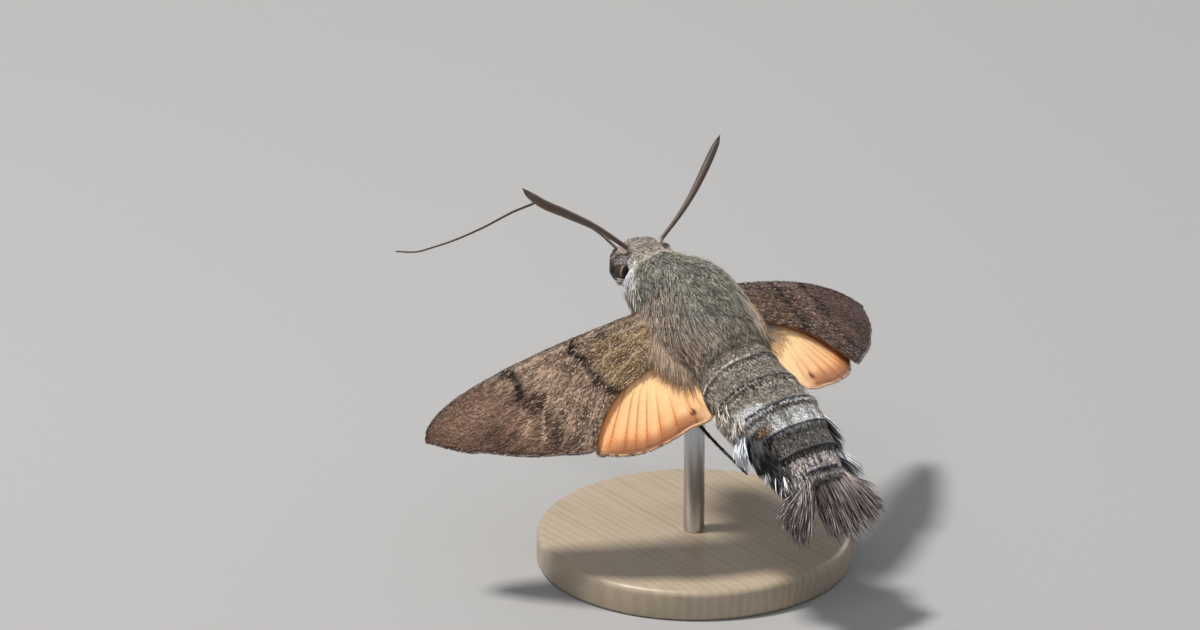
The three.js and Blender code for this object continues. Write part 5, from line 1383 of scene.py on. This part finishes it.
M_EYE = eye_material()
for side, sign in (("left", 1), ("right", -1)):
    nu, nv = 64, 40
    lon = np.linspace(0, 2 * np.pi, nu, endpoint=False)
    lat = np.linspace(-np.pi / 2, np.pi / 2, nv + 2)[1:-1]
    la, lo = np.meshgrid(lat, lon, indexing="ij")
    unit = np.stack([np.cos(la) * np.cos(lo), np.sin(la), np.cos(la) * np.sin(lo)], -1)
    centre = EYE_C * np.array([1, sign, 1])
    v = (centre + unit * EYE_R).reshape(-1, 3)
    v = np.vstack([v, centre + [0, -EYE_R[1], 0], centre + [0, EYE_R[1], 0]])
    j = np.arange(nu)
    k = (j + 1) % nu
    caps = np.concatenate([np.stack([np.full(nu, nu * nv), j, k], 1), np.stack([np.full(nu, nu * nv + 1), (nv - 1) * nu + k, (nv - 1) * nu + j], 1)])
    w_ = unit * np.array([1, sign, 1])
    z = unit[..., 2]
    seen = w_ * EYE_R
    p1, p2 = seen @ LOOK_ACROSS / 0.87, seen @ LOOK_UP / 1.03
    near = w_ @ LOOK_OUT > -0.1
    col = mix(np.broadcast_to(lin(62, 49, 43), z.shape + (3,)), lin(92, 78, 71), 0.6 * smooth(0.1, 0.8, z) + 0.3 * bell(z, -0.55, 0.2))
    # a dark false pupil with a pale band round its front, and smaller dark spots
    q1, q2 = (p1 - 0.34) * 0.96 + (p2 + 0.22) * -0.28, (p1 - 0.34) * 0.28 + (p2 + 0.22) * 0.96
    oval = np.where(near, np.hypot(q1 / 0.31, q2 / 0.47), 9)
    band = bell(np.hypot((q1 - 0.08) / 0.44, (q2 - 0.02) / 0.66), 1.0, 0.16)
    col = mix(col, lin(196, 166, 144), 0.85 * band * near * smooth(0.3, -0.15, q1) * smooth(-0.72, -0.3, p2))
    # Painted shade along the front edge of the eye's seen side.
    col = mix(col, lin(44, 30, 24), 0.8 * near * smooth(-0.45, -0.75, p1))
    col = mix(col, lin(22, 13, 11), 0.96 * smooth(1.12, 0.86, oval))
    for cx, cz, r in ((0.3, 0.0, 0.26), (0.72, 0.2, 0.14), (0.25, -0.6, 0.14)):
        far_spot = np.where(near, 9, np.hypot(unit[..., 0] - cx, unit[..., 2] - cz))
        col = mix(col, lin(18, 11, 10), 0.85 * smooth(r, r * 0.6, far_spot))
    col = np.vstack([col.reshape(-1, 3), [[0.01] * 3], [[0.01] * 3]])
    eye = mesh_object("eye_ball_" + side, v, [grid_faces(nv, nu, close=True), caps], M_EYE, col)
    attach(eye, "root")
    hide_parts("eye_" + side)
eye_lids()

# ------------------------------------------------------------------ antennae
M_FEELER, nt_, bs_ = node_material("moth_antenna", 0.5, specular=0.4)
attribute_colour(nt_, bs_, scale=9000.0, low=0.75, high=1.2, bump=0.4, bump_scale=14000.0, distance=2e-5)
M_CUTICLE, nt_, bs_ = node_material("moth_cuticle", 0.36, specular=0.5)
attribute_colour(nt_, bs_, scale=9000.0, low=0.75, high=1.25, bump=0.3, bump_scale=14000.0, distance=2e-5)

ANT_BASE = np.array([7.2, 1.4, 0.85])
ANT_BOW = {"left": ((0.3, -0.35), (0.6, 0.0), (0.82, 0.36), (0.95, 0.2)), "right": ((0.28, 0.4), (0.5, 0.5), (0.72, 0.31), (0.91, 0.05))}
ANT_TIP = {"left": np.array([12.32, 9.15, 4.87]), "right": np.array([11.9, -9.15, 5.4])}


def antenna(side):
    sign = 1 if side == "left" else -1
    base = ANT_BASE * np.array([1, sign, 1])
    tip = ANT_TIP[side]
    axis = tip - base
    unit = axis / np.linalg.norm(axis)
    sag = np.array([-0.8, 0, -0.4])
    pts = [base - unit * 0.35, base]
    for t, amount in ANT_BOW[side]:
        pts.append(base + axis * t + sag * amount)
    pts.append(tip)
    n = 420
    path = curve(pts, n)
    t = np.linspace(0, 1, n)
    radius = stations([[0, 0.24], [0.035, 0.25], [0.08, 0.185], [0.25, 0.22], [0.42, 0.28], [0.58, 0.335], [0.74, 0.37], [0.86, 0.345], [0.93, 0.28], [0.968, 0.17], [0.985, 0.075], [1, 0.045]], t)
    radius = radius * (1 + 0.06 * np.abs(np.sin(t * np.pi * 58)) ** 0.5 - 0.03)
    # the point of the club hooks forward
    hook = smooth(0.93, 1.0, t)
    path = path + np.outer(hook * 0.12, [0.6, 0, 0.5])
    pts, faces, tt_ = tube(path, radius, 16, 0.82)
    ring = np.concatenate([np.tile(np.linspace(0, 2 * np.pi, 16, endpoint=False), n), [0, 0]])
    top = 0.5 + 0.5 * np.cos(ring)
    col = mix(np.broadcast_to(lin(84, 69, 61), (len(pts), 3)), lin(58, 48, 43), smooth(0.5, 1.0, tt_) * 0.6)
    col = mix(col, lin(150, 132, 112), 0.5 * (1 - top) * smooth(0.1, 0.3, tt_))
    col = mix(col, lin(184, 166, 150), 0.85 * smooth(0.075, 0.03, tt_))
    col = mix(col, lin(24, 19, 18), 0.8 * smooth(0.93, 0.98, tt_))
    col = col * (0.8 + 0.4 * np.abs(np.sin(tt_ * np.pi * 58)))[:, None]
    ob = mesh_object("antenna_shaft_" + side, pts, faces, M_FEELER, col)
    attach(ob, "root")
    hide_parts("antenna_" + side)
    # two rows of short sensory bristles along the front of the club
    rng = np.random.default_rng(91)
    tangent = np.gradient(path, axis=0)
    tangent /= np.linalg.norm(tangent, axis=1, keepdims=True)
    parts = []
    for row, angle0 in ((0, 0.35), (1, -0.35)):
        idx = np.arange(60, n - 22, 6)
        nrm = np.array([0, 0, 1.0]) - tangent[idx] * tangent[idx][:, 2:3]
        nrm /= np.linalg.norm(nrm, axis=1, keepdims=True)
        sd = np.cross(tangent[idx], nrm)
        d = nrm * math.cos(angle0) + sd * math.sin(angle0)
        r = radius[idx][:, None]
        p, f, tl, acr, _ = None, None, None, None, None
        L = 0.1 * rng.uniform(0.8, 1.2, len(idx))
        x = np.linspace(0, 1, 3)
        pp = (path[idx] + d * r * 0.9)[:, None] + (d + tangent[idx] * 0.5)[:, None] * (L[:, None] * x[None])[..., None]
        nr = np.repeat(sd[:, None], 3, 1)
        p, f, tl, acr, _ = blades(pp, nr, np.full(len(idx), 0.05), (1.0, 0.7), 0.6)
        c = np.tile(lin(176, 164, 150), (len(p), 1))
        parts.append((p, f, c, margin_uv(idx / n, np.full(len(idx), 0.2 + 0.5 * row), tl, acr)))
    join_parts("antenna_bristles_" + side, parts, M_SCALES)


antenna("left")
antenna("right")

# ------------------------------------------------------------------ proboscis and palps
TO_KNEE = [[8.4, 0, -1.75], [9.0, 0, -1.7], [10.4, 0.15, -1.68], [12.1, 0.4, -1.72], [15.2, 0.75, -2.5], [17.6, 1.0, -3.3], [18.35, 1.1, -3.75]]
BEYOND = [[18.9, 1.2, -4.5], [20.2, 1.7, -6.3], [21.95, 2.4, -9.1], [23.8, 3.0, -11.75], [25.55, 3.5, -13.95], [27.0, 3.8, -15.6], [28.9, 4.05, -17.1]]
whole = curve(TO_KNEE + BEYOND, 560)
split = int(np.argmin(np.linalg.norm(whole - np.array(TO_KNEE[-1]), axis=1))) + 4
for name, node, part, r0, r1 in (("tongue_to_knee", "proboscis_base", whole[:split + 1], 0.13, 0.095), ("tongue_beyond", "proboscis_tip", whole[split:], 0.095, 0.06)):
    n = len(part)
    t = np.linspace(0, 1, n)
    radius = (r0 + (r1 - r0) * t) * (1 + 0.05 * np.sin(np.arange(n) * 1.4))
    pts, faces, tl = tube(part, radius, 12, 0.85)
    col = mix(np.broadcast_to(lin(44, 36, 34), (len(pts), 3)), lin(72, 60, 54), 0.5 + 0.5 * np.sin(tl * n * 0.7))
    ob = mesh_object(name, pts, faces, M_CUTICLE, col)
    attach(ob, "root")
    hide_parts(node)

for side, sign in (("left", 1), ("right", -1)):
    path = curve([[7.5, sign * 0.9, -2.05], [8.4, sign * 0.93, -2.3], [8.95, sign * 0.86, -2.05], [9.15, sign * 0.72, -1.5], [9.05, sign * 0.6, -1.0]], 60)
    t = np.linspace(0, 1, 60)
    radius = (0.5 - 0.2 * t) * (1 - 0.7 * smooth(0.88, 1, t))
    pts, faces, tl = tube(path, radius, 20, 0.85)
    rng = np.random.default_rng(95 + sign)
    under = pts[:, 2] < np.interp(tl, t, path[:, 2]) - 0.05
    col = np.where(under[:, None], lin(196, 188, 176), lin(92, 78, 68))
    palp = mesh_object("palp_core_" + side, pts, faces, M_SKIN, col)
    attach(palp, "root")
    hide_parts("palp_" + side)
    # brush of short scales over the palp, dark on its outer face and pale beneath
    n = 800
    i = rng.integers(0, 57, n)
    a = rng.uniform(0, 2 * np.pi, n)
    tan = np.gradient(path, axis=0)
    tan /= np.linalg.norm(tan, axis=1, keepdims=True)
    n_ref = np.array([0, 0, 1.0]) - tan[i] * tan[i][:, 2:3]
    n_ref /= np.linalg.norm(n_ref, axis=1, keepdims=True)
    sd = np.cross(tan[i], n_ref)
    d = n_ref * np.cos(a)[:, None] + sd * np.sin(a)[:, None] * 0.85
    L = rng.uniform(0.18, 0.32, n)
    x = np.linspace(0, 1, 4)
    path_ = (path[i] + d * radius[i][:, None] * 0.97)[:, None] + tan[i][:, None] * (L[:, None] * x[None])[..., None] + d[:, None] * (0.07 * np.sin(x * 2.2))[None, :, None]
    p, f, tl2, acr, _ = blades(path_, np.repeat(d[:, None], 4, 1), 0.07 * rng.uniform(0.7, 1.3, n), (0.8, 1.0, 0.7), 0.3)
    tone = np.where((d[:, 2] + 0.45 * sign * -d[:, 1] < -0.35)[:, None], lin(206, 200, 190), lin(118, 104, 94))
    tone = np.where((rng.random(n) < 0.15)[:, None], lin(84, 70, 62), tone)
    c = (tone * np.clip(rng.normal(1, 0.15, n), 0.5, 1.5)[:, None])[:, None, :] * (0.8 + 0.3 * tl2)[None, :, None]
    join_parts("coat_palp_" + side, [(p, f, c.reshape(-1, 3), margin_uv(i / 57, a / 6.2832, tl2, acr))], M_SCALES)

# ------------------------------------------------------------------ legs
LEGS = {
    "leg_fore": [[3.6, 1.0, -3.0], [5.0, 1.75, -4.55], [2.7, 1.8, -4.95], [0.5, 1.5, -4.65]],
    "leg_mid": [[0.6, 1.3, -3.1], [1.4, 2.5, -4.6], [-1.8, 2.6, -5.0], [-4.2, 2.35, -4.55]],
    "leg_hind": [[-2.6, 1.3, -2.7], [-3.2, 2.7, -4.2], [-7.3, 3.05, -4.4], [-13.2, 3.25, -3.75]],
}
for leg_name, points in LEGS.items():
    for side, sign in (("left", 1), ("right", -1)):
        path = curve([[x, sign * y, z] for x, y, z in points], 180)
        t = np.linspace(0, 1, 180)
        seg = np.linalg.norm(np.diff(np.array(points), axis=0), axis=1)
        cut = np.cumsum(seg) / seg.sum()
        k1, k2 = cut[0], cut[1]
        radius = stations([[0, 0.22], [k1 * 0.5, 0.26], [k1, 0.17], [k1 + 0.06, 0.18], [(k1 + k2) / 2, 0.17], [k2, 0.15], [k2 + 0.03, 0.12], [0.97, 0.085], [1, 0.06]], t)
        # the foot has five joints
        foot = np.clip((t - k2) / (1 - k2), 0, 1)
        radius = radius * (1 + 0.16 * (foot > 0) * (np.abs(np.sin(foot * np.pi * 5)) ** 0.4 - 0.6))
        pts, faces, tl = tube(path, radius, 14)
        col = mix(np.broadcast_to(lin(60, 50, 44), (len(pts), 3)), lin(26, 22, 22), smooth(k1 * 0.8, k2, tl))
        rng = np.random.default_rng(101)
        ob = mesh_object("%s_limb_%s" % (leg_name, side), pts, faces, M_CUTICLE, col)
        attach(ob, "root")
        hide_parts("%s_%s" % (leg_name, side))
        # spines on shin and foot, scales on the thigh, two spurs and two claws
        tan = np.gradient(path, axis=0)
        tan /= np.linalg.norm(tan, axis=1, keepdims=True)
        parts = []
        for kind, lo, hi, count, length, width, lean in (("scales", 0.02, k1 + 0.1, 420, 0.42, 0.07, 0.25), ("flat", k1, 0.97, 420, 0.24, 0.05, 0.18), ("spines", k1 + 0.05, 0.985, 90, 0.2, 0.03, 0.9)):
            i = rng.integers(int(lo * 179), int(hi * 179), count)
            a = rng.uniform(0, 2 * np.pi, count)
            n_ref = np.array([0, 0, 1.0]) - tan[i] * tan[i][:, 2:3]
            n_ref /= np.linalg.norm(n_ref, axis=1, keepdims=True)
            sd = np.cross(tan[i], n_ref)
            d = n_ref * np.cos(a)[:, None] + sd * np.sin(a)[:, None]
            x = np.linspace(0, 1, 3)
            dirn = tan[i] + d * lean
            dirn /= np.linalg.norm(dirn, axis=1, keepdims=True)
            pp = (path[i] + d * radius[i][:, None] * 0.9)[:, None] + dirn[:, None] * (length * rng.uniform(0.7, 1.2, count)[:, None] * x[None])[..., None]
            p, f, tl2, acr, _ = blades(pp, np.repeat(d[:, None], 3, 1), width * rng.uniform(0.7, 1.3, count), (1.0, 0.85), 0.35)
            if kind == "scales":
                tone = np.where((rng.random(count) < 0.45)[:, None], lin(176, 164, 148), lin(92, 78, 68))
            else:
                tone = np.broadcast_to(lin(32, 27, 26), (count, 3))
            c = (tone * np.clip(rng.normal(1, 0.15, count), 0.5, 1.5)[:, None])[:, None, :] * np.ones_like(tl2)[None, :, None]
            parts.append((p, f, c.reshape(-1, 3), margin_uv(i / 180, a / 6.2832, tl2, acr)))
        tips = []
        for place, outd, length in ((k2 * 0.995, 0.5, 0.55), (k2 * 0.995, -0.5, 0.5), (0.995, 0.55, 0.22), (0.995, -0.55, 0.22)):
            i = int(place * 179)
            sd = np.cross(tan[i], [0, 0, 1.0])
            sd /= np.linalg.norm(sd)
            tips.append((i, tan[i] + sd * outd + np.array([0, 0, -0.3]), length))
        i = np.array([q[0] for q in tips])
        dirn = np.array([q[1] for q in tips])
        dirn /= np.linalg.norm(dirn, axis=1, keepdims=True)
        x = np.linspace(0, 1, 4)
        pp = path[i][:, None] + dirn[:, None] * (np.array([q[2] for q in tips])[:, None] * x[None])[..., None]
        p, f, tl2, acr, _ = blades(pp, np.broadcast_to(np.array([0, 0, 1.0]), pp.shape), np.full(4, 0.07), (1, 0.9, 0.6), 0.8)
        parts.append((p, f, np.tile(lin(30, 24, 22), (len(p), 1)), margin_uv(i / 180, np.full(4, 0.5), tl2, acr)))
        join_parts("%s_scales_%s" % (leg_name, side), parts, M_SCALES)


# ------------------------------------------------------------------ stand
def wood_material():
    mat, nt, bsdf = node_material("maple", 0.42, specular=0.4, coat=0.15)
    bsdf.inputs["Coat Roughness"].default_value = 0.3
    coord = add(nt, "ShaderNodeTexCoord")
    mapping = add(nt, "ShaderNodeMapping")
    mapping.inputs["Scale"].default_value = (900.0, 55.0, 900.0)
    mapping.inputs["Rotation"].default_value = (0.05, 0.08, 0.35)
    grain = add(nt, "ShaderNodeTexNoise")
    grain.inputs["Scale"].default_value = 1.6
    grain.inputs["Detail"].default_value = 6.0
    grain.inputs["Distortion"].default_value = 0.6
    rings = add(nt, "ShaderNodeTexWave", wave_type="BANDS", bands_direction="X")
    rings.inputs["Scale"].default_value = 0.55
    rings.inputs["Distortion"].default_value = 4.0
    rings.inputs["Detail"].default_value = 2.0
    ramp = add(nt, "ShaderNodeValToRGB")
    ramp.color_ramp.elements[0].position = 0.3
    ramp.color_ramp.elements[0].color = (*lin(158, 142, 121), 1)
    ramp.color_ramp.elements[1].position = 0.75
    ramp.color_ramp.elements[1].color = (*lin(173, 157, 135), 1)
    half = add(nt, "ShaderNodeMath", operation="MULTIPLY_ADD")
    half.inputs[1].default_value = 0.3
    nt.links.new(coord.outputs["Object"], mapping.inputs["Vector"])
    nt.links.new(mapping.outputs["Vector"], grain.inputs["Vector"])
    nt.links.new(mapping.outputs["Vector"], rings.inputs["Vector"])
    nt.links.new(rings.outputs["Fac"], half.inputs[0])
    nt.links.new(grain.outputs["Fac"], half.inputs[2])
    nt.links.new(half.outputs["Value"], ramp.inputs["Fac"])
    nt.links.new(ramp.outputs["Color"], bsdf.inputs["Base Color"])
    b = add(nt, "ShaderNodeBump")
    b.inputs["Strength"].default_value = 0.15
    b.inputs["Distance"].default_value = 5e-5
    nt.links.new(grain.outputs["Fac"], b.inputs["Height"])
    nt.links.new(b.outputs["Normal"], bsdf.inputs["Normal"])
    return mat


def steel_material():
    mat, nt, bsdf = node_material("drawn_steel", 0.28, metallic=1.0)
    coord = add(nt, "ShaderNodeTexCoord")
    mapping = add(nt, "ShaderNodeMapping")
    mapping.inputs["Scale"].default_value = (9000.0, 9000.0, 120.0)
    tex = add(nt, "ShaderNodeTexNoise")
    tex.inputs["Scale"].default_value = 1.0
    ramp = add(nt, "ShaderNodeMapRange")
    ramp.inputs["To Min"].default_value = 0.2
    ramp.inputs["To Max"].default_value = 0.42
    col = add(nt, "ShaderNodeValToRGB")
    col.color_ramp.elements[0].color = (0.42, 0.42, 0.43, 1)
    col.color_ramp.elements[1].color = (0.62, 0.62, 0.64, 1)
    nt.links.new(coord.outputs["Object"], mapping.inputs["Vector"])
    nt.links.new(mapping.outputs["Vector"], tex.inputs["Vector"])
    nt.links.new(tex.outputs["Fac"], ramp.inputs["Value"])
    nt.links.new(ramp.outputs["Result"], bsdf.inputs["Roughness"])
    nt.links.new(tex.outputs["Fac"], col.inputs["Fac"])
    nt.links.new(col.outputs["Color"], bsdf.inputs["Base Color"])
    return mat


M_WOOD, M_STEEL = wood_material(), steel_material()
SEG = 128
profile = [(0.02, 0), (11.7, 0), (11.86, 0.05), (11.97, 0.16), (12.0, 0.32)]
profile += [(12.0, 1.9)]
for q in np.linspace(0, np.pi / 2, 7)[1:]:
    profile.append((11.5 + 0.5 * math.cos(q), 1.9 + 0.5 * math.sin(q)))
profile += [(8.0, 2.4), (1.35, 2.4), (1.2, 2.32), (0.85, 2.32), (0.02, 2.32)]
ang = np.linspace(0, 2 * np.pi, SEG, endpoint=False)
ring = np.array([[[r * math.cos(a), r * math.sin(a), z] for a in ang] for r, z in profile])
v = ring.reshape(-1, 3)
v = np.vstack([v, [0, 0, 0], [0, 0, 2.32]]) * 0.001
j = np.arange(SEG)
k = (j + 1) % SEG
m = len(profile)
caps = np.concatenate([np.stack([np.full(SEG, m * SEG), k, j], 1), np.stack([np.full(SEG, m * SEG + 1), (m - 1) * SEG + j, (m - 1) * SEG + k], 1)])
disc = mesh_object("stand_disc", v, [grid_faces(m, SEG, close=True), caps], M_WOOD, in_world=True)
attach(disc, "root")
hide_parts("stand_base")
# The rod stops in the coat under the thorax.
rod_top = 16.75
profile = [(0.02, 2.33), (0.78, 2.33), (0.8, 2.36), (0.8, rod_top - 0.25), (0.72, rod_top - 0.08), (0.5, rod_top), (0.02, rod_top)]
seg2 = 48
ang = np.linspace(0, 2 * np.pi, seg2, endpoint=False)
v = np.array([[[r * math.cos(a), r * math.sin(a), z] for a in ang] for r, z in profile]).reshape(-1, 3)
v = np.vstack([v, [0, 0, 2.33], [0, 0, rod_top]]) * 0.001
j = np.arange(seg2)
k = (j + 1) % seg2
m = len(profile)
caps = np.concatenate([np.stack([np.full(seg2, m * seg2), k, j], 1), np.stack([np.full(seg2, m * seg2 + 1), (m - 1) * seg2 + j, (m - 1) * seg2 + k], 1)])
rod = mesh_object("stand_rod_round", v, [grid_faces(m, seg2, close=True), caps], M_STEEL, in_world=True)
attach(rod, "root")
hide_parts("stand_rod")


# ------------------------------------------------------------------ floor, lights and camera
def floor():
    me = bpy.data.meshes.new("floor")
    q = 4.0
    me.from_pydata([(-q, -q, 0), (q, -q, 0), (q, q, 0), (-q, q, 0)], [], [(0, 1, 2, 3)])
    mat, nt, bsdf = node_material("studio_floor", 0.9, specular=0.2)
    tex = add(nt, "ShaderNodeTexNoise")
    tex.inputs["Scale"].default_value = 5.0
    coord = add(nt, "ShaderNodeTexCoord")
    ramp = add(nt, "ShaderNodeValToRGB")
    ramp.color_ramp.elements[0].color = (0.34, 0.336, 0.333, 1)
    ramp.color_ramp.elements[1].color = (0.38, 0.376, 0.373, 1)
    nt.links.new(coord.outputs["Object"], tex.inputs["Vector"])
    nt.links.new(tex.outputs["Fac"], ramp.inputs["Fac"])
    nt.links.new(ramp.outputs["Color"], bsdf.inputs["Base Color"])
    me.materials.append(mat)
    ob = bpy.data.objects.new("floor", me)
    bpy.context.scene.collection.objects.link(ob)


floor()
scene = bpy.context.scene
AZ, EL = math.radians(143.2), math.radians(22.0)
back_v = np.array([math.sin(AZ) * math.cos(EL), -math.cos(AZ) * math.cos(EL), math.sin(EL)])
right_v = np.array([math.cos(AZ), math.sin(AZ), 0.0])
up_v = np.cross(back_v, right_v)
PX_PER_MM = 13.25
DIST = 0.6
thorax = np.array([0, 0, HOVER * 0.001])
# The photograph's centre lies this far from the thorax, which shows at pixel (695, 314.5).
aim = thorax + right_v * ((600 - 695) / PX_PER_MM * 0.001) + up_v * (-(315 - 314.5) / PX_PER_MM * 0.001)
cam = bpy.data.cameras.new("camera")
cam.sensor_width = 36.0
cam.lens = 36.0 * DIST / (1200 / PX_PER_MM * 0.001)
cam.clip_start = 0.05
cam.clip_end = 20
camera = bpy.data.objects.new("camera", cam)
scene.collection.objects.link(camera)
from mathutils import Matrix, Vector
rot = Matrix((right_v, up_v, back_v)).transposed()
camera.matrix_world = Matrix.Translation(Vector(aim + back_v * DIST)) @ rot.to_4x4()
scene.camera = camera


def area(name, direction, distance, size, power, colour=(1, 1, 1)):
    """A soft light at a direction given as right, up and towards the camera."""
    d = right_v * direction[0] + up_v * direction[1] + back_v * direction[2]
    d = d / np.linalg.norm(d)
    data = bpy.data.lights.new(name, "AREA")
    data.shape = "DISK"
    data.size = size
    data.energy = power
    data.color = colour
    ob = bpy.data.objects.new(name, data)
    scene.collection.objects.link(ob)
    pos = thorax + d * distance
    ob.matrix_world = Matrix.Translation(Vector(pos)) @ Vector(d).to_track_quat("Z", "Y").to_matrix().to_4x4()


area("key", (-0.45, 1.0, 0.42), 0.7, 0.12, 5.6, (1.0, 0.975, 0.94))
area("fill", (-0.1, 0.45, 1.0), 0.8, 0.6, 1.2, (0.95, 0.97, 1.0))
area("rim", (0.7, 0.6, -0.8), 0.8, 0.4, 1.2)
w = bpy.data.worlds.new("studio")
w.use_nodes = True
w.node_tree.nodes["Background"].inputs["Color"].default_value = (0.9, 0.94, 1.0, 1)
w.node_tree.nodes["Background"].inputs["Strength"].default_value = 0.34
scene.world = w
scene.view_settings.view_transform = "Standard"
